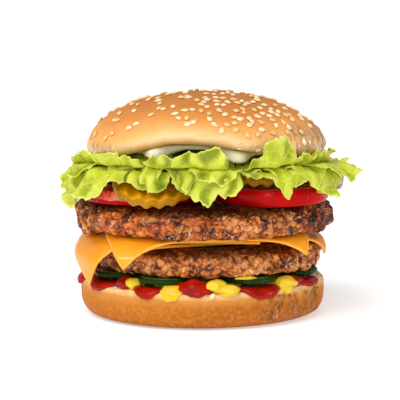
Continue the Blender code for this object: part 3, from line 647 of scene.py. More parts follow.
def build_crown(crust, crumb):
    sectors = 280
    steps = 54

    def rings(angle):
        wide, low = crown_round(angle), crown_low(angle)
        column = [(Vector((CROWN_X, 0, CROWN_UNDER)), 0, 0)]
        for share in (0.25, 0.5, 0.68, 0.8, 0.88):
            r = wide * share
            z = crown_under(r, angle) + 0.35 * lump(r * cos(radians(angle)), r * sin(radians(angle)), 0, 4)
            column.append((polar(r, angle, z, CROWN_X), 0, 0))
        for k in range(0, 7):
            t = pi / 2 * k / 6
            r, z = wide - CROWN_LIP * (1 - sin(t)), low + CROWN_LIP * (1 - cos(t))
            column.append((polar(r, angle, z, CROWN_X), 0.02 * k, 0))
        for k in range(1, steps):
            rise = sin(pi / 2 * k / steps)
            share = (1 - rise ** (1 / 0.54)) ** (1 / 2.2)
            p = crown_surface(share, angle)
            column.append((p, 0.12 + 0.88 * (p.z - low - CROWN_LIP) / (CROWN_TOP - low - CROWN_LIP), 0))
        made = [column[0]]
        for index, (p, tone, _) in enumerate(column[1:], 1):
            height = p.z - low
            creased = crown_wrinkle(angle, height) if index > 6 else 0.0
            turn = radians(angle)
            out = Vector((cos(turn), sin(turn), 0.4)).normalized()
            slide = turn * CROWN_RADIUS
            folds = lump(slide, height * 0.35, 3 * sin(turn), 2.6)
            folds += 0.5 * ridge(slide, height * 0.5, 0, 3.4, 9)
            shape = crown_uneven(p) + 1.3 * creased * folds
            if index <= 6:
                shape = 0.25 * lump(p.x, p.y, p.z, 5)
            fade = min(1.0, hypot(p.x, p.y) / 6)
            # The mark is highest in the hollows of the wrinkled crust: a browner crust there, and painted
            # shade in the hollows.
            made.append((p + out * shape * fade, tone, creased * (0.62 - 0.5 * folds)))
        return made + [(Vector((CROWN_X, 0, CROWN_TOP)), 1, 0)]

    spots, faces = turned(sectors, rings)
    count = (len(spots) - 2) // sectors
    looks = [1 if lowest_ring(face, count) < 5 and 1 not in face else 0 for face in faces]
    place("bun_top_crust", spots, faces, (crust, crumb), "bun", ("bun_top",), looks)


def seed_body(centre, along, across, up, size, tint):
    sides, belts = 9, (0.08, 0.2, 0.36, 0.55, 0.74, 0.9)
    long, wide, tall = size
    spots = [(centre - along * long / 2, 0.3, tint), (centre + along * long / 2, 0.3, tint)]
    for belt in belts:
        girth = sin(pi * belt**1.3) ** 0.8
        for i in range(sides):
            a = 2 * pi * i / sides
            offset = across * cos(a) * wide / 2 + up * sin(a) * tall / 2
            spot = centre + along * long * (belt - 0.5) + offset * girth
            spots.append((spot, 0.5 + 0.5 * sin(a) * girth, tint))
    faces = []
    last = 2 + (len(belts) - 1) * sides
    for i in range(sides):
        there = (i + 1) % sides
        faces.append((0, 2 + there, 2 + i))
        faces.append((1, last + i, last + there))
        for j in range(len(belts) - 1):
            a, b = 2 + j * sides + i, 2 + j * sides + there
            faces.append((a, b, b + sides, a + sides))
    return spots, faces


def seed_on_crown(share, angle, turn, size, tint):
    here = crown_surface(share, angle)
    outward = crown_surface(min(share + 0.02, 0.99), angle) - here
    around = crown_surface(share, angle + 1.0) - here
    up = outward.cross(around).normalized()
    along = (around.normalized() * cos(turn) + outward.normalized() * sin(turn)).normalized()
    centre = here + up * (0.38 + max(crown_uneven(here), 0.0))
    return seed_body(centre, along, up.cross(along), up, size, tint), here


def build_seeds(look):
    """The solid's seeds first, then more where the real crown has them."""
    rng = random.Random(SEED_RANDOM)
    parts, taken = [], []
    for i in range(SOLID_SEEDS):
        share = SEED_OUTER * sqrt((i + 0.6) / SOLID_SEEDS)
        angle = SEED_TURN * i + rng.uniform(-4, 4)
        body, here = seed_on_crown(share, angle, rng.uniform(0, 2 * pi), SHOWN_SEED, 0.5 + 0.4 * sin(5 * i))
        parts.append(body)
        taken.append(here)
    rng = random.Random(SEED_RANDOM + 1)
    while len(parts) < ALL_SEEDS:
        share = sqrt(rng.uniform(0, 0.985))
        angle = rng.uniform(0, 360)
        turn, size = rng.uniform(0, 2 * pi), rng.uniform(1.0, 1.24)
        here = crown_surface(share, angle)
        low_edge = 1 - 0.8 * smooth(0.86, 0.97, share) * (1 - window(angle, 262, 330, 12))
        keep = (0.35 + 0.75 * smooth(0.3, 0.6, share)) * low_edge
        keep *= 0.55 + 0.45 * window(angle, 200, 345, 30)
        keep *= 1 - 0.85 * window(angle, 185, 250, 18) * smooth(0.45, 0.7, share)
        crowd = lump(here.x, here.y, 0, 11, 3) + 0.35
        if rng.random() > keep * (0.45 + crowd) or any((here - other).length < 2.5 for other in taken):
            continue
        dims = tuple(d * size for d in SEED_SIZE)
        parts.append(seed_on_crown(share, angle, turn, dims, rng.random())[0])
        taken.append(here)
    low_rows = [(rng.uniform(278, 322), rng.uniform(0.9, 0.985)) for _ in range(30)]
    low_rows += [(rng.uniform(192, 222), rng.uniform(0.93, 0.98)) for _ in range(6)]
    for angle, share in low_rows:
        body, here = seed_on_crown(share, angle, rng.uniform(0, 2 * pi), SHOWN_SEED, 0.15)
        if all((here - other).length > 3.4 for other in taken):
            parts.append(body)
            taken.append(here)
    stray = polar(HEEL_RADIUS + 0.1, 274.5, HEEL_HEIGHT - 0.9)
    lie = [Vector(way) for way in ((0.6, 0, 0.8), (0.8, 0.1, -0.6), (0, -1, 0.2))]
    parts.append(seed_body(stray, *lie, SEED_SIZE, 0.6))
    place("sesame_seeds", *joined(parts), (look,), "bun")


# Bottom bun and its sauces

def heel_waver(angle):
    a = radians(angle)
    return 1.0 + 0.008 * sin(2 * a + 0.6) + 0.005 * sin(3 * a + 2.0)


def heel_path(along, lift, angle):
    flat = HEEL_RADIUS - HEEL_RIM_ROUND
    past = max(along - flat, 0.0)
    bend = min(past / HEEL_RIM_ROUND, pi / 2)
    down = max(past - HEEL_RIM_ROUND * pi / 2, 0.0)
    radius = min(along, flat) + (HEEL_RIM_ROUND + lift) * sin(bend)
    height = HEEL_HEIGHT - HEEL_RIM_ROUND + (HEEL_RIM_ROUND + lift) * cos(bend) - down
    return polar(radius * heel_waver(angle), angle, height)


def build_heel(crust, crumb):
    sectors = 300
    side = spline(HEEL_PROFILE, 26)
    profile = [(r, z) for r, z in side]
    for k in range(1, 7):
        t = pi / 2 * k / 6
        inset, down = HEEL_RIM_ROUND * (1 - cos(t)), HEEL_RIM_ROUND * (1 - sin(t))
        profile.append((HEEL_RADIUS - inset, HEEL_HEIGHT - down))

    def rings(angle):
        turn = radians(angle)
        slide = turn * HEEL_RADIUS
        wrinkled = window(angle, *HEEL_WRINKLED)
        column = [(Vector((0, 0, 0)), 0, 0), (polar(30, angle, 0), 0, 0)]
        for r, z in profile:
            creased = wrinkled * smooth(1, 4, z) * (1 - smooth(12.5, 15, z))
            folds = lump(slide, z * 0.3, 0, 2.2, 5) + 0.8 * ridge(slide, z * 0.3, 0, 3.0, 2)
            level = smooth(0.0, 1.5, z)
            uneven = 0.3 * lump(slide, z, 0, 14, 7) + 0.12 * lump(slide, z, 0, 4, 1)
            shape = level * uneven + 1.25 * creased * folds
            height = z if z < 0.05 else max(z, 0.02)
            # Painted shade: the mark darkens the lower crust towards the front right, and the hollows of the
            # wrinkled folds.
            brown = window(angle, 255, 350, 45) * (1 - smooth(9, 14, z))
            mark = max(0.4 * brown, creased * (0.62 - 0.5 * folds))
            column.append((polar(r * heel_waver(angle) + shape, angle, height), z / HEEL_HEIGHT, mark))
        for r in (46, 40, 30):
            grain = 0.2 * lump(r * cos(turn), r * sin(turn), 0, 3)
            column.append((polar(r * heel_waver(angle), angle, HEEL_HEIGHT - 0.1 + grain), 1, 0))
        return column + [(Vector((0, 0, HEEL_HEIGHT)), 1, 0)]

    spots, faces = turned(sectors, rings)
    count = (len(spots) - 2) // sectors
    looks = [1 if lowest_ring(face, count) >= count - 5 else 0 for face in faces]
    place("bun_bottom_crust", spots, faces, (crust, crumb), "heel", ("bun_bottom",), looks)


def sauce_edge(angle, lobes, inside):
    reach, extra = inside, 0.0
    for middle, half_width, lobe_reach, lobe_extra in lobes:
        share = exp(-(abs(turn_between(angle, middle)) / half_width) ** 2.6)
        reach = max(reach, inside + (lobe_reach - inside) * share)
        extra = max(extra, lobe_extra * share)
    return reach, extra


def build_sauce(name, node, lobes, inside, lift, thick, dollops, look, seed):
    edge_width = 1.9

    def rings(angle):
        outer, extra = sauce_edge(angle, lobes, inside)
        slide = radians(angle) * HEEL_RADIUS
        outer += 0.7 * lump(slide, seed, 0, 4.5, seed) + 0.35 * lump(slide, seed, 3, 1.8, seed)
        deep = thick + extra
        under, over = [(Vector((0, 0, HEEL_HEIGHT + lift)), 0, 0)], []
        for inset in (14.0, 8.0, 5.0, 3.4):
            s = outer - inset
            low = lift + 0.15 * lump(slide, s, 0, 5, seed)
            under.append((heel_path(s, low, angle), 0, 0))
            over.append((heel_path(s, low + thick + extra * smooth(12, 2, inset) * 0.8, angle), 0, 0))
        for k in range(9):
            t = pi / 2 * k / 8
            s = outer - edge_width * (1 - sin(t))
            loose = 0.5 * smooth(0, 5, s - HEEL_RADIUS + HEEL_RIM_ROUND)
            wave = 0.22 * lump(slide, s, 2, 3.4, seed)
            low = lift * (1 - smooth(0, 4, s - inside)) + 0.1 + loose * 0.2
            tall = (deep + wave) * cos(t) ** 0.7
            under.append((heel_path(s, low, angle), 0, 0))
            over.append((heel_path(s, low + max(tall, 0.02), angle), 0, 0))
        return under + over[::-1] + [(Vector((0, 0, HEEL_HEIGHT + lift + thick)), 0, 0)]

    lumps = [dollop(*row, seed + row[0]) for row in dollops]
    place(name, *joined([turned(540, rings), *lumps]), (look,), node, (node,))


def dollop(angle, radius, height, wide, deep, tall, seed):
    """A rounded lump of sauce, with its long side round the bun."""
    a = radians(angle)
    out, round_it = Vector((cos(a), sin(a), 0)), Vector((-sin(a), cos(a), 0))
    middle = out * radius + Vector((0, 0, height))

    def rings(turn):
        t = radians(turn)
        column = []
        for k in range(17):
            f = pi * k / 16
            ray = Vector((sin(f) * cos(t), sin(f) * sin(t), -cos(f)))
            size = 1 + 0.3 * noise.noise(ray * 1.3 + Vector((seed, 0, 0)))
            size = size + 0.12 * noise.noise(ray * 3.1 + Vector((0, seed, 0)))
            reach = out * ray.x * deep + round_it * ray.y * wide + Vector((0, 0, ray.z * tall))
            column.append((middle + reach * size, 0, 0))
        return column

    return turned(32, rings)


def build_chips(look):
    under = ((0, 0.35), (6.5, 0.1), (9.6, 0.0), (10.85, 0.45))
    over = ((10.85, 1.95), (9.6, 2.4), (6.5, 2.25), (0, 2.05))
    profile = spline((*under, (CHIP_RADIUS, 1.2), *over), 30)
    for number, where in enumerate(CHIP_ANGLES, 1):
        middle = polar(CHIP_RING, where, CHIP_LOW)

        def rings(angle):
            column = []
            for index, (r, z) in enumerate(profile):
                wavy = 1 + 0.015 * sin(radians(3 * angle) + number) + 0.008 * sin(radians(7 * angle))
                dish = 0.25 * sin(radians(2 * angle) + number) * r / CHIP_RADIUS
                seeds = 0.12 * lump(r * cos(radians(angle)), r * sin(radians(angle)), number, 2.2)
                height = CHIP_LOW + z + dish * 0.5 + seeds * (r < 9)
                p = polar(r * wavy, angle + where, height, middle.x, middle.y)
                column.append((p, smooth(9.2, 10.6, r), r / CHIP_RADIUS))
            return column

        place(f"pickle_chip_{number}", *turned(56, rings), (look,), "chip", (f"pickle_lower_{number}",))


# Meat and cheese

def crag(point, seed):
    spot = Vector((point.x, point.y, point.z + seed))
    return 0.65 * noise.noise(spot * 0.16) + 0.6 * noise.noise(spot * 0.34)


def upper_rim_under(angle):
    drops = [deep * window(angle, mid - half, mid + half, 8) for mid, half, deep in UPPER_DROOPS]
    return UPPER_PATTY_UNDER - max(drops)


def lower_rim_under(angle):
    sides = max(window(angle, 190, 226, 12), window(angle, 312, 352, 12))
    return LOWER_PATTY_UNDER + 0.4 - 0.9 * sides


def minced(p, seed):
    """Height of the minced grains at a point, and a share that is low in the crevices between them, which the
    tone uses as painted shade: pebbles of about 3 mm and 1.5 mm.
    """
    shifts = (Vector((0, 0, 0)), Vector((7, 3, 1)), Vector((-5, -9, -2)))
    warp = Vector([noise.noise(p * 0.4 + shift) for shift in shifts])
    big = noise.voronoi((p + warp * 2.2) * 0.27 + Vector((seed, 0, 0)))[0]
    small = noise.voronoi((p + warp * 1.1) * 0.62 + Vector((0, seed, 0)))[0]
    hollow = smooth(0, 0.42, big[1] - big[0])
    hollow_small = smooth(0, 0.4, small[1] - small[0])
    fine = noise.noise(p * 1.5 + Vector((seed, 4, 0)))
    height = 0.4 * (hollow - 0.6) + 0.1 * (hollow_small - 0.6) + 0.14 * fine
    return height, 0.55 * hollow + 0.35 * hollow_small + 0.1 * fine


def build_patty(name, node, sizes, rim_under, fuller, sear_from, dark_right, seed, look):
    centre_x, radius, under, top = sizes
    sectors = 760
    rim_count = 58
    rim_top = top - 0.9

    def rings(angle):
        low = rim_under(angle)
        full = fuller / radius
        rim = [(share + full * (1 - part) ** 2, low + part * (rim_top - low)) for share, part in PATTY_RIM]
        line = spline([(0.865, under), *rim, (0.82, top)], rim_count)
        column = [(polar(r, angle, under, centre_x), 0.5, 0.5) for r in (0.0, radius * 0.45)]
        for k, (share, height) in enumerate(line):
            step = line[min(k + 1, len(line) - 1)] - line[max(k - 1, 0)]
            step = np.array((step[0] * radius, step[1]))
            normal = np.array((step[1], -step[0])) / (np.hypot(*step) + 1e-9)
            spot = polar(radius * share, angle, height, centre_x)
            rough = smooth(0, 5, k) * smooth(rim_count, rim_count - 8, k)
            part = (height - low) / (rim_top - low)
            relief, hollow = minced(spot, seed)
            ends = 1 + 1.1 * window(angle, 318, 395, 14) + 0.6 * window(angle, 165, 212, 12)
            shape = ends * crag(spot, seed) + (0.8 + 0.35 * ends) * relief + 0.6 * lump(*spot, 7, seed) * ends
            shape *= rough
            if relief < -0.25:
                shape -= 0.35 * rough * ends
            p = polar(radius * share + shape * normal[0], angle, height + shape * normal[1], centre_x)
            # Painted shade: the tone is darker in the crevices between the grains, over random browning.
            tone = 0.24 + 0.46 * hollow + 0.38 * crag(spot, seed + 5)
            tone -= dark_right * window(angle, *BEEF_DARK_SIDE)
            column.append((p, tone, smooth(sear_from, 1.0, part) * 0.85 + 0.08))
        for share in (0.7, 0.5, 0.25):
            spot = polar(radius * share, angle, top, centre_x)
            relief, hollow = minced(spot, seed)
            column.append((spot + Vector((0, 0, 0.3 * relief)), 0.2 + 0.5 * hollow, 0.9))
        return column + [(Vector((centre_x, 0, top)), 0.5, 0.9)]

    place(name, *turned(sectors, rings), (look,), "patty", (node,))


def drape(flat_x, flat_y, level, off_sheet, sway=0.0):
    dx, dy = flat_x - LOWER_PATTY_X, flat_y
    reach = hypot(dx, dy)
    angle = degrees(atan2(dy, dx)) % 360
    front = window(angle, 226, 360, 10)
    inner = DRAPE_BEND_BACK + (DRAPE_BEND_FRONT - DRAPE_BEND_BACK) * front
    past = max(reach - DRAPE_START, 0.0)
    hang = pi / 2
    bend_radius = inner + level * (SLICE_STEP + SLICE_SPREAD)
    bend = min(past / bend_radius, hang)
    straight = max(past - bend_radius * hang, 0.0)
    off = level * SLICE_STEP + level * SLICE_SPREAD * sin(bend) + off_sheet + sway * smooth(0, 12, past)
    radius = min(reach, DRAPE_START) + (inner + off) * sin(bend)
    height = LOWER_PATTY_TOP + 0.3 - inner + (inner + off) * cos(bend) - straight
    return polar(radius, angle, height, LOWER_PATTY_X)


def build_cheese(look):
    cells = 84
    marks = [sin(pi / 2 * (2.0 * i / cells - 1.0)) for i in range(cells + 1)]
    marks = [0.55 * m + 0.45 * (2.0 * i / cells - 1.0) for i, m in enumerate(marks)]
    half = SLICE_SIDE / 2
    for level, (name, centre_x, centre_y, turn) in enumerate(SLICES):
        a = radians(turn)

        def spot(u, v, side):
            blunt = 0.55 * (abs(u) * abs(v)) ** 14
            du, dv = u * half * (1 - 0.01 * blunt), v * half * (1 - 0.01 * blunt)
            du += 0.35 * lump(v * half, 0, 0, 9, level) * abs(u) ** 6
            dv += 0.35 * lump(0, u * half, 0, 9, level + 4) * abs(v) ** 6
            x = centre_x + du * cos(a) - dv * sin(a)
            y = centre_y + du * sin(a) + dv * cos(a)
            edge = min(half * (1 - abs(u)), half * (1 - abs(v)))
            plump = sqrt(max(0.0, 1 - (1 - min(edge / 0.9, 1.0)) ** 2))
            thick = SLICE_THICK * (0.12 + 0.88 * plump)
            off = SLICE_THICK / 2 + thick * (side - 0.5)
            sway = 0.35 * lump(x, y, 0, 12, 2)
            return drape(x, y, level, off, sway), 1 - min(edge / 1.6, 1.0), 0

        body = sheet(marks, marks, spot)
        place(f"cheese_melted_{name}", *body, (look,), "cheese", (f"cheese_slice_{name}",))


# Tomato, onion and pickles

def tilted(spot, centre, tilt_x, tilt_y):
    turn = Matrix.Rotation(radians(tilt_x), 3, "X") @ Matrix.Rotation(radians(tilt_y), 3, "Y")
    return centre + turn @ spot


def skin_share(name, share, inset, angle):
    """How much of a slice's edge shows skin; the left tomato's upper edge shows flesh, and the right slice's
    right end shows pale flesh in streaks as a painted glare.
    """
    low = smooth(0.0, 0.06, min(share, 1 - share) + 0.012 * (inset > -1))
    if name != "left":
        # Painted glare: the right slice's skin gives way to pale flesh in streaks at its right end.
        wet = window(angle, 322, 352, 8) * (0.5 + 0.9 * lump(angle, 10 * share, 0, 3.5))
        return low * (1 - 0.7 * min(max(wet, 0), 1) * (name == "right"))
    return low * (1 - 0.95 * smooth(0.2, 0.45, share + 0.2 * lump(angle, 0, 0, 9)))


def build_round_slices(kind, rows, look, ringed):
    low_rim = ((-1.5, 0.0), (-0.5, 0.04), (-0.05, 0.25))
    rim = spline((*low_rim, (0.05, 0.5), (-0.05, 0.75), (-0.5, 0.96), (-1.5, 1.0)), 22)
    for name, x, y, under, radius, thick, tilt_x, tilt_y in rows:
        centre = Vector((x, y, under))
        inner = [radius * s for s in (0.12, 0.25, 0.37, 0.48, 0.58, 0.67, 0.75, 0.82, 0.88)]

        def rings(angle):
            turn = radians(angle)
            wide = radius * (1 + 0.012 * cos(radians(3 * angle + x)))
            wide += 0.12 * lump(radius * turn, 0, 0, 6, x)
            grain = [0.18 * lump(r * cos(turn), r * sin(turn), x, 3.0) for r in inner]
            if ringed:
                grain = [g + 0.3 * cos(2 * pi * r / 3.6) for g, r in zip(grain, inner)]
            banded = [0.5 + 0.5 * cos(2 * pi * r / 3.6) if ringed else r / radius for r in inner]
            lower = [(polar(r, angle, 0.15), 0, b) for r, b in zip(inner, banded)]
            upper = [(polar(r, angle, thick - 0.15 + g), 0, b) for r, g, b in zip(inner, grain, banded)]
            skin = []
            for inset, share in rim:
                spot = polar(wide + inset, angle, thick * share)
                skin.append((spot, skin_share(name, share, inset, angle), 1))
            ends = [(Vector((0, 0, z)), 0, 0) for z in (0.15, thick - 0.15)]
            line = [ends[0], *lower, *skin, *upper[::-1], ends[1]]
            return [(tilted(p, centre, tilt_x, tilt_y), tone, mark) for p, tone, mark in line]

        place(f"{kind}_cut_{name}", *turned(140, rings), (look,), kind, (f"{kind}_slice_{name}",))


def build_crinkles(look):
    for name, x, y, under, radius, thick, tilt_x, tilt_y in PICKLES:
        centre = Vector((x, y, under))
        count = 96
        us = [radius * 0.995 * sin(pi * (i / count - 0.5)) for i in range(count + 1)]
        vs = [sin(pi / 2 * (2 * j / 44 - 1)) for j in range(45)]

        def spot(u, v, side):
            turn = atan2(v, u / radius + 1e-6)
            wide = radius * (1 + 0.012 * sin(11 * turn))
            across = sqrt(max(wide**2 - u**2, 0.01)) * v
            edge = radius - hypot(u, across)
            plump = sqrt(max(0.0, 1 - (1 - min(edge / 1.3, 1.0)) ** 2))
            wave = CRINKLE_DEPTH * 1.5 * cos(2 * pi * u / CRINKLE_PITCH)
            body = thick * (0.35 + 0.65 * plump)
            pulp = 0.2 * lump(u, across, x, 2.6) * plump
            z = thick / 2 + body * (side - 0.5) + wave + pulp * side
            return tilted(Vector((u, across, z)), centre, tilt_x, tilt_y), 1 - min(max(edge, 0) / 1.1, 1.0), 0

        place(f"pickle_crinkle_{name}", *sheet(us, vs, spot), (look,), "pickle", (f"pickle_upper_{name}",))


# Lettuce and mayonnaise

def leaf_height(x, y):
    away = hypot(x + 18.0, y + 22.0)
    wave = 0.4 * sin(7 * atan2(y, x) + 1.0) - 1.0
    rise = 6.4 * exp(-((away / 17.0) ** 2))
    return LEAF_MIDDLE - LEAF_SLOPE * y + rise + wave * smooth(40, 52, hypot(x, y))


def crumple(point, base, seed):
    """How far the leaf is pushed up into the gap under the crown."""
    radius = hypot(point.x, point.y)
    angle = degrees(atan2(point.y, point.x)) % 360
    room = crown_under(radius, angle) - MAYO_THICK - 1.2 - base
    where = smooth(17, 26, radius) * (1 - smooth(43, 49, radius))
    folded = 0.3 + 1.2 * abs(lump(point.x, point.y, 0, 9, seed))
    folded += 0.5 * abs(lump(point.x, point.y, 5, 4, seed))
    return max(room, 0.0) * where * min(folded, 1.0) * 0.9


def leaf_body(seed, first, last, layer, start, shoulder_a, shoulder_b, droop, ruffle, waves, margin):
    """Spots and faces of one leaf or fold."""
    span = (last - first) % 360
    length = radians(span) * 57
    columns = max(28, round(length * (2.25)))
    rows = 36
    inside = round((50 - start) / (1.9)) + 2
    us = [1 - i / columns for i in range(columns + 1)]
    vs = [j / inside for j in range(inside)] + [1 + 1.0 * (j / rows) ** 0.9 for j in range(rows + 1)]
    hang = radians(droop)
    frills = length / 8.5

    def spot(u, v, side):
        angle = first + span * u
        run = u * length
        share = max(v - 1.0, 0.0)
        lip = smooth(0.45, 1.15, v)
        shoulder = shoulder_a + (shoulder_b - shoulder_a) * smooth(0, 1, u) + 1.3 * lump(run, 0, 0, 9, seed)
        inner = start + (shoulder - start) * min(v, 1.0)
        flat = polar(inner, angle, 0)
        base = leaf_height(flat.x, flat.y) + layer * LEAF_STEP
        base += 1.1 * lip * lump(radians(angle) * 52, 0, 0, 8, 40)
        if layer == 0:
            base += crumple(flat, base, 3.0)
        teeth = 1.1 * lump(run, 0, 0, 2.6, seed) + 0.75 * lump(run, 0, 0, 1.05, seed + 3)
        reach = along_points(margin, u) + 1.6 * lump(run, 0, 7, 6.0, seed) * share + teeth * share**2
        past = share * reach
        bend = hang * min(past / LEAF_BEND, 1.0)
        bend_radius = LEAF_BEND / hang
        straight = max(past - LEAF_BEND, 0.0)
        phase = 2 * pi * frills * u + 3.4 * lump(run, past, 1, 9, seed)
        depth = 0.35 + 1.3 * abs(lump(run, 0, 0, 12, seed + 6) + 0.25)
        wavy = sin(phase)
        wavy = copysign(abs(wavy) ** 0.75, wavy)
        ruffled = ruffle * share**1.1 * sin(2 * pi * waves * u + 0.5)
        ruffled += 1.6 * depth * share**1.25 * wavy
        ruffled += 1.2 * share * lump(run, past, 5, 3.2, seed) + 0.7 * lip * lump(run, past, 9, 5.5, seed)
        ruffled += 0.45 * share**2 * lump(run, past, 2, 1.5, seed)
        rib = abs(run + 1.5 * lump(run, past, 0, 9, seed) - 0.5 * length)
        branch = ((rib - 0.85 * (inner + past)) / 7.5 + 0.9 * lump(run, past, 0, 8, seed + 8)) % 1.0
        vein = max(0.6 * exp(-((min(branch, 1 - branch) / 0.07) ** 2)), exp(-((rib / 0.8) ** 2)))
        ruffled += 0.25 * vein * (1 if side else 0.4)
        thick = LEAF_THICK * (0.7 - 0.45 * share)
        off = thick * (side - 0.5) + ruffled
        radius = inner + bend_radius * sin(bend) + straight * cos(hang)
        height = base - bend_radius * (1 - cos(bend)) - straight * sin(hang)
        p = polar(radius + off * sin(bend), angle, height + off * cos(bend))
        # Painted light and shade: frills turned up are lighter, and the inner leaf and the frills turned down
        # darker, most at the front; the pale veins and margins are the leaf's own.
        facing = (wavy if hang > 0 else -wavy) * 0.5 + 0.5
        edge = smooth(0.9, 1.0, share)
        dark = 0.9 * (1 - smooth(0.0, 0.3, share)) + 0.8 * (1 - facing) * smooth(0.05, 0.6, share)
        dark *= 0.5 + 0.35 * window(angle, 240, 292, 14)
        light = max(0.34 * vein, 0.75 * edge, 0.5 * facing * share)
        return p, light, min(dark * (1 - edge), 1.0)

    return sheet(us, vs, spot)


def build_leaf(number, name, row, look):
    """A leaf with the folds that lie on it."""
    parts = [leaf_body(13.0 * number, *row)]
    for index, (where, *fold) in enumerate(FOLDS):
        if where == name:
            parts.append(leaf_body(7.0 * index + 101, *fold))
    place(f"lettuce_frill_{name}", *joined(parts), (look,), "lettuce", (f"lettuce_{name}",))


def crown_gap_floor(radius, angle):
    spot = polar(radius, angle, 0)
    return leaf_height(spot.x, spot.y) + LEAF_THICK / 2 + MAYO_GAP + LEAF_STEP * window(angle, 238, 352, 4)


def build_mayonnaise(look):
    def rings(angle):
        wide = MAYO_RADIUS + max(reach * bump(angle, mid, half) for mid, half, reach, _ in MAYO_LOBES)
        thick = MAYO_THICK + max(deep * bump(angle, mid, half) for mid, half, _, deep in MAYO_LOBES)
        slide = radians(angle) * 45
        wide += 0.7 * lump(slide, 0, 0, 5)
        lower, upper = [], []
        for inset in (30.0, 20.0, 14.0, 9.0, 6.0):
            radius = wide - inset
            ceiling = crown_under(radius, angle) - 0.5
            bottom = ceiling - MAYO_THICK - (thick - MAYO_THICK) * smooth(14, 5, inset)
            bottom = max(crown_gap_floor(radius, angle), bottom)
            upper.append((polar(radius, angle, ceiling), 0, 0))
            lower.append((polar(radius, angle, bottom), 0, 0))
        for k in range(10):
            t = pi / 2 * k / 9
            radius = wide - 3.2 * (1 - sin(t))
            ceiling = crown_under(radius, angle) - 0.4
            bottom = max(crown_gap_floor(radius, angle), ceiling - thick)
            middle, half = (ceiling + bottom) / 2, (ceiling - bottom) / 2
            half *= max(cos(t), 0.02) ** 0.6
            wave = 0.25 * lump(slide, radius, 0, 4)
            upper.append((polar(radius, angle, middle + half), 0, 0))
            lower.append((polar(radius, angle, middle - half + wave * cos(t)), 0, 0))
        top = CROWN_UNDER - MAYO_GAP
        return [(Vector((0, 0, top - MAYO_THICK)), 0, 0), *lower, *upper[::-1], (Vector((0, 0, top)), 0, 0)]

    place("mayonnaise_spread", *turned(220, rings), (look,), "mayonnaise", ("mayonnaise",))


# Small things

def pebble(centre, size, seed, stretch=(1, 1, 0.7)):
    """A crumb: an uneven ball."""
    sectors, belts = 8, 5

    def rings(angle):
        column = []
        for k in range(belts + 2):
            t = pi * k / (belts + 1)
            a = radians(angle)
            ray = Vector((sin(t) * cos(a), sin(t) * sin(a), -cos(t)))
            uneven = 1 + 0.35 * noise.noise(ray * 1.7 + Vector((seed, 0, 0)))
            ray = Vector(r * s for r, s in zip(ray, stretch))
            column.append((centre + ray * size / 2 * uneven, 0.5, 0.5))
        return column

    return turned(sectors, rings)


def build_crumbs(crumb, patty):
    rng = random.Random(5)
    bread, meat = [], []
    for i in range(BREAD_CRUMBS):
        angle = rng.uniform(0, 360)
        along = rng.uniform(47.5, 50.5)
        bread.append(pebble(heel_path(along, 0.15, angle), rng.uniform(0.5, 1.1), i))
    for i in range(MEAT_CRUMBS):
        angle = rng.uniform(0, 360)
        meat.append(pebble(heel_path(rng.uniform(46, 51.5), 0.2, angle), rng.uniform(0.5, 1.2), 50 + i))
    place("bread_crumbs", *joined(bread), (crumb,), "heel")
    flakes = []
    for i in range(CRUST_FLAKES):
        angle = rng.uniform(283, 301)
        spot = polar(crown_round(angle) - 0.2, angle, crown_low(angle) + rng.uniform(0.8, 3.6), CROWN_X)
        flakes.append(pebble(spot, rng.uniform(1.4, 3.2), 90 + i, (1.0, 0.5, 0.3)))
    place("crust_flakes", *joined(flakes), (crumb,), "bun")
    place("meat_crumbs", *joined(meat), (patty,), "patty")


def build_drops(look):
    """Water on the tomato skins."""
    rng = random.Random(8)
    parts = []
    for name, x, y, under, radius, thick, tilt_x, tilt_y in TOMATOES[:2]:
        centre = Vector((x, y, under))
        for i in range(WATER_DROPS):
            angle = rng.uniform(185, 355)
            size = rng.uniform(0.7, 1.9)
            wide = radius * (1 + 0.012 * cos(radians(3 * angle + x)))
            spot = tilted(polar(wide - 0.08, angle, rng.uniform(0.16, 0.84) * thick), centre, tilt_x, tilt_y)
            out = polar(1, angle, 0)
            body = pebble(Vector((0, 0, 0)), size, 3 * i, (0.35, 1.0, 1.0))
            spots = [(spot + Matrix.Rotation(radians(angle), 3, "Z") @ p, t, m) for p, t, m in body[0]]
            spots = [(p + out * 0.02, t, m) for p, t, m in spots]
            parts.append((spots, body[1]))
    place("water_drops", *joined(parts), (look,), "tomato")


# Stage

def build_stage():
    mesh = bpy.data.meshes.new("floor")
    corners = [(x * FLOOR_HALF, y * FLOOR_HALF, 0) for x, y in ((-1, -1), (1, -1), (1, 1), (-1, 1))]
    mesh.from_pydata(corners, [], [(0, 1, 2, 3)])
    floor = bpy.data.objects.new("floor", mesh)
    bpy.context.scene.collection.objects.link(floor)
    look = Look("pale floor", (0.1,), Roughness=0.9)
    look.shader.inputs["Base Color"].default_value = (FLOOR_WHITE, FLOOR_WHITE, FLOOR_WHITE, 1)
    look.shader.inputs["Emission Color"].default_value = (1, 1, 1, 1)
    look.shader.inputs["Emission Strength"].default_value = FLOOR_GLOW
    mesh.materials.append(look.material)

    world = bpy.data.worlds.new("studio")
    bpy.context.scene.world = world
    world.use_nodes = True
    back = world.node_tree.nodes["Background"]
    back.inputs["Color"].default_value = (1, 1, 1, 1)
    back.inputs["Strength"].default_value = WORLD_LIGHT

    def lamp(name, kind, strength, place_at, size):
        light = bpy.data.lights.new(name, kind)
        light.energy = strength
        if kind == "SUN":
            light.angle = radians(size)
        else:
            light.shape, light.size = "SQUARE", size
        item = bpy.data.objects.new(name, light)
        item.location = place_at
        aim = Vector((0, 0, 0.05)) - item.location
        item.rotation_euler = aim.to_track_quat("-Z", "Y").to_euler()
        bpy.context.scene.collection.objects.link(item)

    lamp("key", "SUN", 1.75, (-0.4, -0.7, 1.25), 46)
    lamp("left box", "AREA", 1.1, (-0.8, -0.35, 0.35), 0.12)
    lamp("right box", "AREA", 1.1, (0.85, -0.3, 0.3), 0.12)
    lamp("front box", "AREA", 1.8, (0.0, -1.15, 0.2), 0.3)


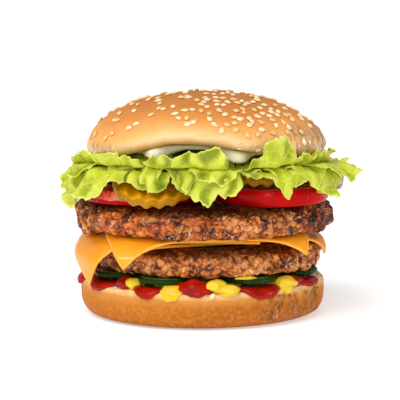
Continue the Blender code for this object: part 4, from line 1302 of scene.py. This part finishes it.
def build_camera():
    data = bpy.data.cameras.new("camera")
    data.sensor_width = 36.0
    data.lens = CAMERA_LENS
    data.clip_start, data.clip_end = 0.05, 20.0
    camera = bpy.data.objects.new("camera", data)
    rise = radians(CAMERA_RISE)
    target = Vector(CAMERA_AIM)
    camera.location = target + Vector((0, -cos(rise), sin(rise)))
    camera.rotation_euler = (target - camera.location).to_track_quat("-Z", "Y").to_euler()
    bpy.context.scene.collection.objects.link(camera)
    bpy.context.scene.camera = camera
    settings = bpy.context.scene.view_settings
    settings.view_transform = "Standard"
    settings.look = "None"
    settings.exposure, settings.gamma = 0.0, 1.0


def main():
    build_camera()
    build_stage()
    crust, crumb, heel = crust_look(), crumb_look(), heel_look()
    lower_meat, upper_meat = patty_look("lower beef", 0.2, 0.7), patty_look("upper beef", 0.65, 0.3)
    build_heel(heel, crumb)
    ketchup = sauce_look("ketchup", "860600", "b61804", 0.14)
    mustard = sauce_look("mustard", "e0b81a", "f0d03e", 0.22)
    build_sauce("ketchup_spread", "ketchup", KETCHUP_LOBES, KETCHUP_INSIDE, 0.3, 1.1,
                KETCHUP_DOLLOPS, ketchup, 1.0)
    build_sauce("mustard_spread", "mustard", MUSTARD_LOBES, MUSTARD_INSIDE - 1.5, 1.8, 0.8,
                MUSTARD_DOLLOPS, mustard, 6.0)
    build_chips(chip_look())
    sizes = LOWER_PATTY_X, LOWER_PATTY_RADIUS, LOWER_PATTY_UNDER, LOWER_PATTY_TOP
    build_patty("patty_meat_lower", "patty_lower", sizes, lower_rim_under, 1.3, 0.52, -0.04, 0.0, lower_meat)
    build_cheese(cheese_look())
    sizes = UPPER_PATTY_X, UPPER_PATTY_RADIUS, UPPER_PATTY_UNDER, UPPER_PATTY_TOP
    build_patty("patty_meat_upper", "patty_upper", sizes, upper_rim_under, 0.3, 0.58, 0.2, 70.0, upper_meat)
    build_round_slices("tomato", TOMATOES, tomato_look(), False)
    build_round_slices("onion", ONIONS, onion_look(), True)
    build_crinkles(pickle_look())
    lettuce = lettuce_look()
    for number, (name, *row) in enumerate(LEAVES):
        build_leaf(number, name, row, lettuce)
    build_mayonnaise(sauce_look("mayonnaise", "fff2c8", "fffae0", 0.2, 0.3))
    build_crown(crust, crumb)
    build_seeds(seed_look())
    build_crumbs(crumb, lower_meat)
    build_drops(drop_look())


main()
